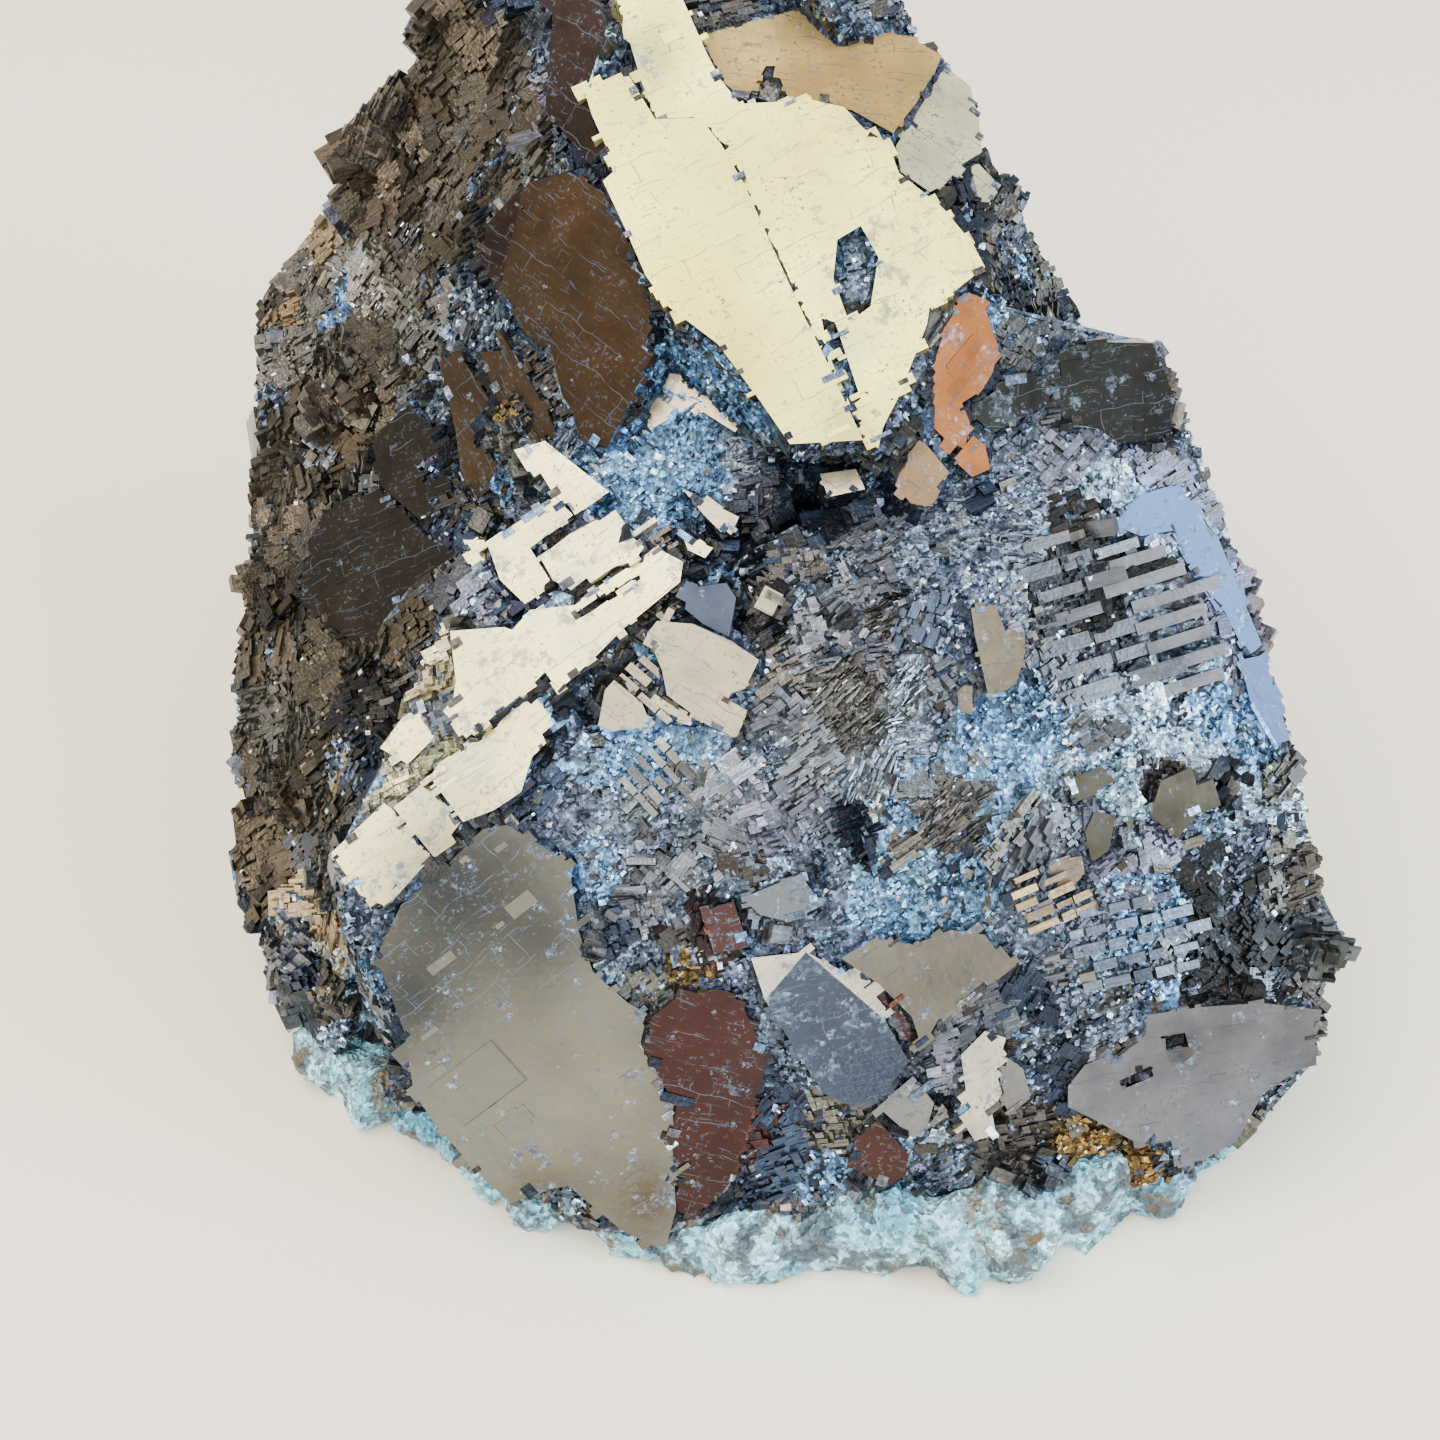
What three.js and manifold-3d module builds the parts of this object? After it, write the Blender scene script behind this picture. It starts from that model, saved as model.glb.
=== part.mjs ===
// A broken lump of massive galena on its pale quartz matrix. Millimetres, +Z up, origin on the
// resting plane.
//
// The lump is described from its best side, the one that shows the cleavage. A place there is
// [across, down, rise]: across and down are pixels of a square view from the eye point below, and
// rise is the height in millimetres towards the eye, above the plane through the aim point.
import * as THREE from "three";
import { ConvexGeometry } from "three/addons/geometries/ConvexGeometry.js";
import { MeshSurfaceSampler } from "three/addons/math/MeshSurfaceSampler.js";
import { mergeVertices } from "three/addons/utils/BufferGeometryUtils.js";
import Module from "manifold-3d";

const wasm = await Module();
wasm.setup();

// Driving sizes, in millimetres
const FIELD_WIDTH = 108; // what the square view takes in, on the plane through the aim point
const AIM_HEIGHT = 36; // of the aim point above the resting plane
const EYE_DISTANCE = 150;
const SLAB_THICKNESS = 3.2; // of the quartz under the galena
const CONTACT_GAP = 0.4; // between the two minerals
const PLATE_DEPTH = 4; // how far a cleaved plate reaches into the lump
const STEP_HEIGHT = 0.45; // between neighbouring cleavage steps

// The view that places are given in
const VIEW_PIXELS = 1440;
const MM_PER_PIXEL = FIELD_WIDTH / VIEW_PIXELS;
const ELEVATION = THREE.MathUtils.degToRad(45);
const AIM = new THREE.Vector3(0, 0, AIM_HEIGHT);
const RIGHT = new THREE.Vector3(1, 0, 0);
const UP = new THREE.Vector3(0, Math.sin(ELEVATION), Math.cos(ELEVATION));
const TOWARD = new THREE.Vector3(0, -Math.cos(ELEVATION), Math.sin(ELEVATION));
const EYE = AIM.clone().addScaledVector(TOWARD, EYE_DISTANCE);

// The main masses. Each is the hull of places seen from the eye and of hidden places [x, y, z].
const MASSES = {
  frontLobe: {
    seen: [
      [334, 858, -1.5], [350, 925, -1.5], [376, 985, -1.7], [430, 1085, -3.8], [520, 1185, -5.5],
      [590, 1238, -6.2], [680, 1250, -6.2], [760, 1215, -5], [860, 1190, -4], [1010, 1190, -6],
      [1150, 1185, -7.5], [1262, 1120, -8], [1315, 1060, -8.5], [1325, 930, -8], [1300, 790, -6.5],
      [1258, 640, -6], [1215, 520, -5.2], [1172, 432, -4.8], [1080, 470, -2.5], [900, 500, -1.6],
      [760, 545, -1.2], [850, 760, 4.6], [700, 900, 3], [1000, 850, 3], [950, 600, 2.6],
      [1100, 1000, -0.6], [640, 680, 1.6], [560, 760, 2.2], [480, 845, 1.6], [930, 1000, 1.2],
    ],
    hidden: [
      [-30, -3, 2], [-8, -20, 2], [4, -22, 2], [22, -22, 2], [41, -9, 2], [42, 24, 2], [-34, 25, 2],
      [33, 24, 34], [-20, 26, 26],
    ],
  },
  bandRidge: {
    seen: [
      [336, 857, 0.2], [372, 903, 1], [470, 822, 2.4], [560, 725, 1.6], [683, 572, 0.6], [650, 545, 0],
      [560, 500, -1.6], [492, 548, -1.6], [450, 632, -0.4], [400, 725, -0.4], [385, 800, 0.2],
    ],
    hidden: [[-28, 0, 14], [-6, 12, 22], [-18, 20, 22], [-28, 12, 12]],
  },
  crown: {
    seen: [
      [588, 90, -4.2], [612, 170, -3.2], [648, 290, -1.2], [690, 335, -0.4], [800, 442, 1.8],
      [868, 440, 2], [925, 330, 0.4], [978, 262, -0.6], [985, 160, -5.5], [942, 62, -6.6],
      [850, -3, -8.4], [803, -52, -10.4], [670, -114, -10.4], [600, -112, -9.4], [586, -60, -7.2],
    ],
    hidden: [
      [-16, 56, 66], [8, 58, 58], [22, 44, 40], [10, 40, 20], [-14, 40, 20], [-20, 60, 20], [14, 60, 10],
    ],
  },
  brownShoulder: {
    seen: [
      [575, -40, -8], [540, 60, -10], [548, 150, -7], [488, 226, -10], [478, 262, -10], [445, 350, -11],
      [450, 400, -10], [505, 470, -6], [600, 440, -4.5], [640, 380, -3.6], [645, 300, -3.2],
      [606, 190, -4], [500, 20, -15],
    ],
    hidden: [[-14, 40, 20], [-24, 50, 30], [-10, 56, 60], [-14, 20, 20]],
  },
  saddle: {
    seen: [
      [560, 430, -5], [640, 385, -5], [700, 400, -4], [780, 455, -4], [868, 460, -5], [700, 560, -3.5],
      [640, 545, -3], [560, 500, -3.5], [500, 490, -7], [450, 420, -11],
    ],
    hidden: [[0, 22, 20], [16, 20, 26], [-18, 22, 20], [0, 40, 24]],
  },
  notch: {
    seen: [
      [866, 440, 0.6], [925, 330, -0.4], [978, 262, -1.4], [992, 330, -2.6], [940, 440, -1.8],
      [905, 500, -2], [862, 462, -1.2],
    ],
    hidden: [[12, 16, 26], [20, 34, 30], [14, 30, 20]],
  },
  leftWing: {
    seen: [
      [437, 372, -13], [360, 460, -17], [308, 540, -19], [285, 610, -21], [262, 665, -23],
      [330, 700, -16], [420, 660, -10], [480, 560, -8], [500, 490, -9], [455, 430, -11],
      [300, 800, -19], [330, 870, -12],
    ],
    hidden: [[-30, 0, 4], [-36, 24, 4], [-16, 26, 10], [-37, 10, 8]],
  },
  leftFlank: {
    seen: [
      [440, 0, -16], [400, 110, -20], [366, 180, -23], [440, 260, -20], [470, 330, -16],
      [430, 380, -17], [330, 470, -24], [272, 560, -25], [500, 40, -15], [560, -70, -12],
      [490, -70, -15],
    ],
    hidden: [
      [-40, 42, 2], [-30, 60, 2], [-8, 62, 2], [-10, 58, 60], [-24, 58, 50], [-41, 20, 4], [-10, 20, 4],
    ],
  },
  leftSpur: {
    seen: [
      [358, 195, -27], [320, 222, -29], [290, 262, -31], [262, 300, -33], [300, 312, -30],
      [264, 355, -32], [284, 400, -30], [296, 470, -29], [400, 300, -24], [400, 440, -24],
      [250, 640, -26],
    ],
    hidden: [[-42, 40, 14], [-40, 26, 4], [-30, 50, 10]],
  },
  leftFoot: {
    seen: [
      [250, 620, -25], [240, 690, -24], [247, 790, -23], [262, 880, -22], [272, 1000, -20],
      [300, 1060, -19], [345, 1040, -15], [350, 960, -12], [338, 880, -11], [320, 720, -17],
    ],
    hidden: [[-37, -4, 2], [-41, 20, 2], [-20, 10, 2], [-30, -6, 2]],
  },
  rightShoulder: {
    seen: [
      [1000, 365, -4.5], [1048, 356, -5], [1118, 340, -5], [1155, 344, -5.2], [1178, 405, -5.6],
      [1218, 520, -6], [1262, 640, -7], [1070, 470, -2.8], [960, 480, -2.6], [905, 440, -2.4],
      [925, 350, -3], [962, 296, -3.2],
    ],
    hidden: [[34, 30, 44], [40, 26, 20], [20, 30, 20], [30, 36, 30]],
  },
  rightBack: {
    seen: [
      [975, 150, -6.5], [998, 182, -8.5], [1000, 215, -9], [1034, 285, -13], [1090, 342, -20],
      [1050, 372, -12], [985, 280, -4.5], [960, 420, -5],
    ],
    hidden: [[20, 50, 50], [33, 44, 36], [36, 44, 6], [20, 58, 6], [30, 30, 6], [10, 30, 20]],
  },
  rear: {
    seen: [],
    hidden: [
      [-36, 36, 2], [-26, 56, 2], [-4, 61, 2], [20, 57, 2], [37, 42, 2], [43, 22, 2], [-30, 50, 34],
      [-6, 60, 52], [14, 57, 42], [30, 46, 30], [38, 24, 30], [0, 10, 24],
    ],
  },
};

// The crystal grains that the best side cuts through. at is a place on the grain's face, slope is
// that face's rise per millimetre to the right and per millimetre up the view, turn is the angle in
// degrees from the right to one of its cleavage traces. A plate is a piece of the face between
// cleavage edges, step is how many steps it stands above at, or below it.
const GRAINS = {
  band: {
    at: [550, 660, 2.4],
    slope: [0.15, -0.25],
    turn: 35,
    plates: [
      {
        step: -5,
        outline: [[331, 853], [384, 803], [393, 810], [432, 858], [420, 870], [387, 907], [360, 895]],
      },
      { step: -4, outline: [[394, 808], [425, 781], [461, 822], [434, 857]] },
      { step: -6, outline: [[383, 794], [410, 762], [426, 778], [390, 806]] },
      {
        step: -2,
        outline: [
          [430, 777], [440, 762], [463, 751], [517, 702], [531, 691], [555, 723], [542, 734], [546, 743],
          [532, 757], [521, 792], [494, 810], [463, 822],
        ],
      },
      {
        step: 0,
        outline: [
          [450, 631], [504, 627], [512, 630], [530, 610], [575, 605], [601, 585], [657, 548], [683, 562],
          [680, 582], [624, 628], [593, 659], [558, 691], [545, 672], [524, 692], [466, 738], [443, 711],
          [453, 700], [456, 682],
        ],
      },
      {
        step: -1,
        outline: [[487, 543], [555, 497], [573, 515], [530, 548], [551, 582], [525, 604], [500, 580]],
      },
      {
        step: 1,
        outline: [
          [540, 557], [570, 534], [596, 520], [619, 526], [644, 547], [634, 561], [594, 572], [571, 590],
          [553, 580],
        ],
      },
      {
        step: -2,
        outline: [[514, 450], [545, 441], [609, 492], [573, 513], [555, 496], [540, 472], [527, 471]],
      },
      { step: -3, outline: [[463, 540], [484, 540], [500, 582], [520, 606], [500, 612]] },
      { step: -4, outline: [[380, 748], [402, 718], [425, 702], [445, 720], [430, 742], [408, 764]] },
    ],
  },
  crown: {
    at: [740, 260, 0],
    slope: [0.04, -0.2],
    turn: 26,
    plates: [
      {
        step: 1,
        outline: [
          [583, 86], [629, 76], [655, 119], [700, 118], [721, 144], [744, 184], [801, 310], [824, 356],
          [863, 440], [790, 444], [761, 402], [718, 344], [669, 307], [646, 276], [626, 230], [603, 181],
          [613, 172], [606, 146], [592, 115],
        ],
      },
      {
        step: 0,
        outline: [
          [700, 118], [738, 104], [813, 100], [844, 107], [864, 129], [890, 149], [899, 173], [942, 207],
          [973, 244], [985, 267], [956, 290], [930, 304], [927, 324], [899, 396], [884, 425], [878, 448],
          [864, 440], [824, 356], [778, 261], [744, 184],
        ],
      },
      {
        step: 0,
        outline: [
          [585, -80], [650, -80], [683, 0], [706, 52], [721, 80], [740, 104], [700, 118], [655, 118],
          [643, 86], [630, 43], [617, 34], [603, 14],
        ],
      },
    ],
  },
  crownTop: {
    at: [810, 100, -2.8],
    slope: [-0.06, -0.5],
    turn: -8,
    plates: [
      {
        step: 0,
        outline: [
          [650, -80], [800, -45], [841, 0], [884, 29], [919, 43], [942, 55], [936, 69], [916, 103],
          [893, 133], [850, 109], [835, 102], [790, 102], [775, 66], [766, 66], [746, 100], [721, 80],
          [695, 20],
        ],
      },
    ],
  },
  crownSide: {
    at: [930, 130, -3.6],
    slope: [-0.3, -0.35],
    turn: -35,
    plates: [
      {
        step: 0,
        outline: [
          [945, 66], [970, 86], [979, 120], [982, 152], [962, 164], [945, 184], [930, 192], [901, 172],
          [896, 146], [919, 109],
        ],
      },
      { step: -1, outline: [[962, 165], [979, 164], [998, 184], [990, 201], [973, 215], [941, 201]] },
    ],
  },
  brown: {
    at: [560, 300, -5],
    slope: [0.52, 0.06],
    turn: -32,
    plates: [
      {
        step: 1,
        outline: [
          [569, 172], [604, 193], [626, 235], [646, 278], [650, 310], [642, 375], [628, 406], [607, 448],
          [586, 440], [569, 406], [542, 362], [500, 290], [524, 183],
        ],
      },
      { step: 0, outline: [[524, 183], [542, 362], [480, 262], [487, 224]] },
      {
        step: 0,
        outline: [[556, -20], [598, -10], [606, 30], [588, 85], [606, 146], [590, 165], [545, 110]],
      },
    ],
  },
  brownLow: {
    at: [480, 430, -7.6],
    slope: [0.42, 0.12],
    turn: -60,
    plates: [
      {
        step: 0,
        outline: [[440, 362], [456, 350], [480, 385], [519, 445], [504, 476], [462, 486], [456, 434]],
      },
      { step: 1, outline: [[480, 352], [512, 350], [540, 400], [556, 432], [530, 440], [505, 420]] },
    ],
  },
  wing: {
    at: [380, 560, -13],
    slope: [0.55, -0.06],
    turn: 12,
    plates: [
      {
        step: 0,
        outline: [
          [335, 505], [380, 490], [430, 540], [470, 560], [440, 600], [420, 655], [350, 640], [300, 600],
          [305, 545],
        ],
      },
      { step: 0, outline: [[372, 438], [408, 405], [440, 440], [455, 500], [420, 520], [380, 485]] },
    ],
  },
  valley: {
    at: [840, 480, -0.6],
    slope: [0.12, -0.26],
    turn: -40,
    plates: [
      { step: 0, outline: [[820, 474], [856, 469], [865, 489], [828, 497]] },
      { step: -2, outline: [[682, 488], [703, 499], [739, 517], [734, 528], [721, 532], [703, 514]] },
      { step: -1, outline: [[682, 534], [713, 548], [705, 558], [688, 550]] },
      {
        step: -1,
        outline: [[646, 361], [662, 362], [690, 385], [745, 420], [735, 432], [700, 410], [660, 388]],
      },
    ],
  },
  heart: {
    at: [690, 680, 3],
    slope: [0.08, 0.1],
    turn: -28,
    plates: [
      {
        step: 1,
        outline: [
          [647, 634], [657, 621], [693, 624], [733, 642], [759, 660], [739, 701], [748, 711], [736, 739],
          [695, 716], [667, 695], [662, 670],
        ],
      },
      {
        step: 0,
        outline: [[605, 690], [614, 680], [642, 703], [647, 716], [670, 734], [662, 744], [598, 726]],
      },
      { step: 0, outline: [[650, 700], [655, 694], [692, 719], [686, 728]] },
      { step: -1, outline: [[688, 588], [726, 583], [736, 598], [729, 637], [703, 624], [685, 609]] },
      { step: 2, outline: [[766, 589], [780, 600], [772, 606], [760, 598]] },
    ],
  },
  plain: {
    at: [483, 829, 3.4],
    slope: [0.06, 0.28],
    turn: 40,
    plates: [
      {
        step: 0,
        outline: [
          [376, 958], [401, 905], [442, 870], [483, 829], [507, 825], [569, 863], [579, 932], [593, 972],
          [628, 1003], [650, 1015], [645, 1050], [660, 1075], [676, 1107], [672, 1141], [676, 1210],
          [665, 1251], [621, 1230], [569, 1186], [552, 1189], [511, 1203], [480, 1175], [435, 1124],
          [414, 1093], [404, 1031], [387, 986],
        ],
      },
    ],
  },
  red: {
    at: [660, 1075, -0.4],
    slope: [-0.1, 0.36],
    turn: -20,
    plates: [
      {
        step: 0,
        outline: [
          [652, 1017], [679, 996], [720, 990], [745, 1010], [780, 1093], [765, 1141], [741, 1168],
          [720, 1196], [690, 1217], [676, 1210], [672, 1141], [676, 1107], [645, 1050],
        ],
      },
      { step: 5, outline: [[878, 1120], [909, 1155], [906, 1175], [889, 1186], [847, 1165], [858, 1138]] },
    ],
  },
  grey: {
    at: [830, 1010, 1.8],
    slope: [-0.06, 0.2],
    turn: 14,
    plates: [
      {
        step: 0,
        outline: [
          [751, 958], [806, 952], [858, 979], [885, 1020], [909, 1062], [878, 1100], [851, 1106],
          [823, 1093], [796, 1051], [765, 1000],
        ],
      },
      { step: 1, outline: [[742, 898], [800, 874], [822, 905], [790, 922], [760, 915]] },
      { step: -1, outline: [[858, 979], [892, 990], [917, 1020], [917, 1050], [885, 1020]] },
    ],
  },
  shoulder: {
    at: [1110, 400, -3],
    slope: [-0.08, 0.3],
    turn: 8,
    plates: [
      {
        step: 0,
        outline: [
          [1044, 362], [1067, 349], [1097, 342], [1153, 343], [1166, 375], [1176, 403], [1169, 433],
          [1128, 449], [1102, 461], [1077, 454], [1064, 423], [1059, 398],
        ],
      },
      {
        step: 1,
        outline: [[970, 413], [988, 396], [1023, 372], [1051, 380], [1049, 403], [1013, 423], [993, 433]],
      },
    ],
  },
  rust: {
    at: [950, 390, -1],
    slope: [0.1, 0.12],
    turn: 50,
    plates: [
      {
        step: 0,
        outline: [
          [965, 291], [982, 298], [998, 347], [993, 372], [982, 390], [962, 403], [970, 423], [965, 449],
          [947, 441], [929, 423], [919, 403], [934, 362], [949, 319],
        ],
      },
      {
        step: 2,
        outline: [[886, 436], [901, 428], [926, 444], [949, 472], [936, 500], [921, 515], [888, 477]],
      },
      { step: 1, outline: [[967, 449], [985, 444], [990, 469], [972, 477], [958, 464]] },
    ],
  },
  edge: {
    at: [1190, 560, -3.7],
    slope: [-0.32, 0.02],
    turn: -55,
    plates: [
      {
        step: 0,
        outline: [
          [1113, 525], [1141, 495], [1166, 487], [1199, 505], [1217, 535], [1235, 579], [1262, 645],
          [1246, 655], [1225, 612], [1187, 560], [1176, 530], [1141, 536],
        ],
      },
      { step: 1, outline: [[1240, 660], [1264, 655], [1290, 740], [1272, 745], [1250, 700]] },
    ],
  },
  patch: {
    at: [995, 655, 3],
    slope: [-0.02, -0.1],
    turn: 5,
    plates: [
      {
        step: 0,
        outline: [
          [971, 608], [995, 605], [1006, 632], [1026, 650], [1016, 684], [989, 701], [985, 680], [975, 636],
        ],
      },
      { step: -1, outline: [[954, 698], [958, 681], [972, 690], [972, 715], [962, 712]] },
    ],
  },
  lower: {
    at: [990, 1080, -0.7],
    slope: [-0.06, 0.22],
    turn: 40,
    plates: [
      {
        step: 1,
        outline: [
          [961, 1055], [985, 1031], [1006, 1038], [996, 1072], [1002, 1093], [992, 1113], [996, 1134],
          [975, 1141], [958, 1114], [966, 1090],
        ],
      },
      { step: 0, outline: [[1000, 1052], [1023, 1069], [1030, 1093], [1009, 1113], [998, 1093]] },
      { step: 0, outline: [[878, 1107], [913, 1076], [934, 1103], [927, 1127], [913, 1138]] },
      {
        step: 2,
        outline: [
          [841, 958], [875, 938], [913, 945], [950, 930], [985, 935], [1010, 968], [985, 985], [961, 1003],
          [938, 1020], [922, 1048], [912, 1017], [880, 985],
        ],
      },
    ],
  },
  corner: {
    at: [1180, 1080, -4],
    slope: [-0.16, 0.24],
    turn: 8,
    plates: [
      {
        step: 0,
        outline: [
          [1099, 1027], [1133, 1017], [1202, 1007], [1262, 1003], [1322, 1010], [1312, 1060], [1262, 1095],
          [1237, 1141], [1195, 1165], [1178, 1168], [1171, 1141], [1133, 1141], [1095, 1120],
          [1068, 1107], [1068, 1086], [1085, 1065], [1109, 1055],
        ],
      },
    ],
  },
  small: {
    at: [1150, 820, -0.6],
    slope: [-0.2, 0.14],
    turn: 20,
    plates: [
      { step: 0, outline: [[1150, 815], [1161, 781], [1192, 767], [1202, 805], [1178, 839]] },
      { step: 1, outline: [[1085, 832], [1095, 812], [1116, 815], [1109, 850], [1092, 863]] },
      { step: 1, outline: [[1064, 781], [1102, 767], [1116, 781], [1078, 798]] },
      {
        step: 2,
        outline: [
          [1013, 880], [1040, 863], [1082, 856], [1085, 874], [1061, 898], [1057, 932],
          [1009, 905],
        ],
      },
    ],
  },
};

// A flight of narrow cleavage ledges below the right shoulder
const FLIGHT = {
  at: [1110, 600, -1.2],
  slope: [-0.14, 0.02],
  turn: 17,
  ledges: 7,
  pitch: 1.7,
  width: 0.935,
  thick: 4,
  start: [1085, 575],
  length: 8,
  lengths: [0.6, 1],
  shift: [-2, 3],
  top: 0.6,
  unevenness: [-0.2, 0.2],
};

// Pockets where grains were plucked out. depth is below the face of the grain.
const POCKETS = [
  {
    grain: "crown",
    depth: 0.9,
    outline: [[838, 222], [862, 208], [880, 240], [872, 290], [850, 306], [834, 262]],
  },
  { grain: "crown", depth: 0.7, outline: [[822, 302], [836, 306], [862, 384], [852, 392], [828, 336]] },
  {
    grain: "band",
    depth: 0.8,
    outline: [[568, 600], [600, 578], [632, 562], [634, 570], [602, 588], [572, 606]],
  },
  { grain: "corner", depth: 0.7, outline: [[1133, 1097], [1165, 1082], [1168, 1092], [1136, 1106]] },
  { grain: "corner", depth: 0.6, outline: [[1175, 1052], [1200, 1048], [1204, 1062], [1180, 1066]] },
];
const POCKET_REACH = 3; // of the cut above the face

// Small cleavage blocks all over the broken surface, [fewest, most] millimetres
const BLOCKS = {
  front: { count: 62, across: [2, 5], thick: [2, 3], proud: [0.3, 1.1], lean: 4 },
  side: { count: 26, across: [2.5, 6], thick: [2.5, 4], proud: [0.3, 0.9], lean: 4 },
  rear: { count: 30, across: [5, 11], thick: [4, 8], proud: [0.4, 1.6], lean: 5 },
};
const FRONT_FACING = 0.25; // least share of a front block's ground that is turned to the eye
const MIDDLE_RISE = -9; // nothing nearer the eye that faces away gets a block
const REAR_START = 35; // how far back the rear begins
const REAR_FACING = 0.5; // least share of a rear block's ground that is turned to the back
const BLOCK_CLEARANCE = 3; // between the blocks and the slab
const HIDDEN_GRAINS = 34;
const GRAIN_LEAN = 20; // degrees, of a hidden grain's face from the surface

// The quartz: the outline of the slab on the resting plane, and the crust that rises from its edge.
// A knob is [x, y, width, height].
const SLAB_OUTLINE = [
  [-33, -8], [-24, -13], [-10, -22], [2, -25], [22, -25], [43, -14], [45, 0], [44, 20], [37, 41],
  [20, 55], [-5, 59], [-25, 51], [-37, 35], [-40, 12],
];
const CRUST_KNOBS = [
  [-33, -6, 9, 6], [-29, -9, 9, 8], [-24, -11, 10, 7], [-19, -15, 10, 6], [-14, -19, 9, 5],
  [-8, -21, 10, 4.5], [-2, -23, 9, 4.5], [3, -23, 11, 7.5], [8, -22, 11, 9.5], [13, -22, 12, 9],
  [18, -23, 11, 9], [23, -22, 13, 10], [29, -20, 12, 9], [34, -17, 11, 8.5], [39, -13, 11, 7.5],
  [43, -8, 8, 6], [44, 0, 8, 5], [-37, 2, 8, 5.5], [-39, 12, 8, 5],
];
const KNOB_CORNERS = 12;
const KNOB_RADIUS = [0.86, 1]; // of its corners, as a share of its half width
const KNOB_FOOT = 1 / 3; // how far its foot reaches from its middle, as a share of its width
const CUT_WIDTH = 300; // of the block that cuts the undersides flat
const CUT_DEPTH = 60;

// Where a place in the view is, and which way the view looks through it
function seen([across, down, rise]) {
  const scale = (MM_PER_PIXEL * (EYE_DISTANCE - rise)) / EYE_DISTANCE;
  return AIM.clone()
    .addScaledVector(TOWARD, rise)
    .addScaledVector(RIGHT, (across - VIEW_PIXELS / 2) * scale)
    .addScaledVector(UP, (VIEW_PIXELS / 2 - down) * scale);
}

function inView(point) {
  const offset = point.clone().sub(AIM);
  const scale = (MM_PER_PIXEL * (EYE_DISTANCE - offset.dot(TOWARD))) / EYE_DISTANCE;
  return new THREE.Vector2(
    VIEW_PIXELS / 2 + offset.dot(RIGHT) / scale,
    VIEW_PIXELS / 2 - offset.dot(UP) / scale,
  );
}

function insideOutline(outline, place) {
  let inside = false;
  outline.forEach(([x, y], i) => {
    const [u, v] = outline[(i + outline.length - 1) % outline.length];
    const crosses = y > place.y !== v > place.y;
    if (crosses && place.x < x + ((u - x) * (place.y - y)) / (v - y)) inside = !inside;
  });
  return inside;
}

// A random number between two limits
function between([least, most]) {
  return THREE.MathUtils.lerp(least, most, THREE.MathUtils.seededRandom());
}

// Closed geometry to a solid that can be joined and cut, and back
function solid(geometry) {
  const bare = new THREE.BufferGeometry();
  bare.setAttribute("position", geometry.getAttribute("position"));
  bare.setIndex(geometry.getIndex());
  const merged = mergeVertices(bare);
  return new wasm.Manifold(
    new wasm.Mesh({
      numProp: 3,
      vertProperties: new Float32Array(merged.getAttribute("position").array),
      triVerts: new Uint32Array(merged.getIndex().array),
    }),
  );
}

function toGeometry(manifold) {
  const mesh = manifold.getMesh();
  const geometry = new THREE.BufferGeometry();
  geometry.setAttribute("position", new THREE.BufferAttribute(new Float32Array(mesh.vertProperties), 3));
  geometry.setIndex(new THREE.BufferAttribute(new Uint32Array(mesh.triVerts), 1));
  return geometry;
}

// A grain's crystal axes: x along one cleavage trace, z out of its face
function crystalAxes({ slope, turn }) {
  const out = TOWARD.clone().addScaledVector(RIGHT, -slope[0]).addScaledVector(UP, -slope[1]).normalize();
  const angle = THREE.MathUtils.degToRad(turn);
  const trace = RIGHT.clone().multiplyScalar(Math.cos(angle)).addScaledVector(UP, Math.sin(angle));
  trace.addScaledVector(out, -trace.dot(out)).normalize();
  return new THREE.Matrix4().makeBasis(trace, out.clone().cross(trace), out);
}

// A prism of a grain: the outline laid on the grain's face from the eye, lifted, and carried down
function prism(grain, outline, lift, depth) {
  const axes = crystalAxes(grain).setPosition(seen(grain.at));
  const out = new THREE.Vector3().setFromMatrixColumn(axes, 2);
  const middle = seen(grain.at).addScaledVector(out, lift);
  const face = new THREE.Plane().setFromNormalAndCoplanarPoint(out, middle);
  const toGrain = axes.clone().invert();
  const corners = outline.map(([across, down]) => {
    const sight = new THREE.Ray(EYE, seen([across, down, 0]).sub(EYE).normalize());
    const corner = sight.intersectPlane(face, new THREE.Vector3()).applyMatrix4(toGrain);
    return new THREE.Vector2(corner.x, corner.y);
  });
  const geometry = new THREE.ExtrudeGeometry(new THREE.Shape(corners), { depth, bevelEnabled: false });
  return solid(geometry.translate(0, 0, lift - depth).applyMatrix4(axes));
}

function mass({ seen: places, hidden }) {
  const points = places.map(seen);
  hidden.forEach((place) => points.push(new THREE.Vector3(...place)));
  return solid(new ConvexGeometry(points));
}

function plates() {
  return Object.values(GRAINS).flatMap((grain) =>
    grain.plates.map(({ step, outline }) => prism(grain, outline, step * STEP_HEIGHT, PLATE_DEPTH)),
  );
}

function pockets() {
  return POCKETS.map(({ grain, depth, outline }) =>
    prism(GRAINS[grain], outline, POCKET_REACH, POCKET_REACH + depth),
  );
}

// Which part of the surface a place is on: front, side, rear, or none that takes blocks
function region(point, normal) {
  if (point.z < SLAB_THICKNESS + BLOCK_CLEARANCE) return null;
  if (normal.dot(EYE.clone().sub(point).normalize()) > FRONT_FACING) {
    return onPlate(point) ? null : "front";
  }
  const rise = point.clone().sub(AIM).dot(TOWARD);
  if (rise > MIDDLE_RISE) return null;
  if (normal.y < REAR_FACING) return "side";
  return point.y > REAR_START ? "rear" : null;
}

function onPlate(point) {
  const place = inView(point);
  return Object.values(GRAINS).some((grain) =>
    grain.plates.some(({ outline }) => insideOutline(outline, place)),
  );
}

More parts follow.
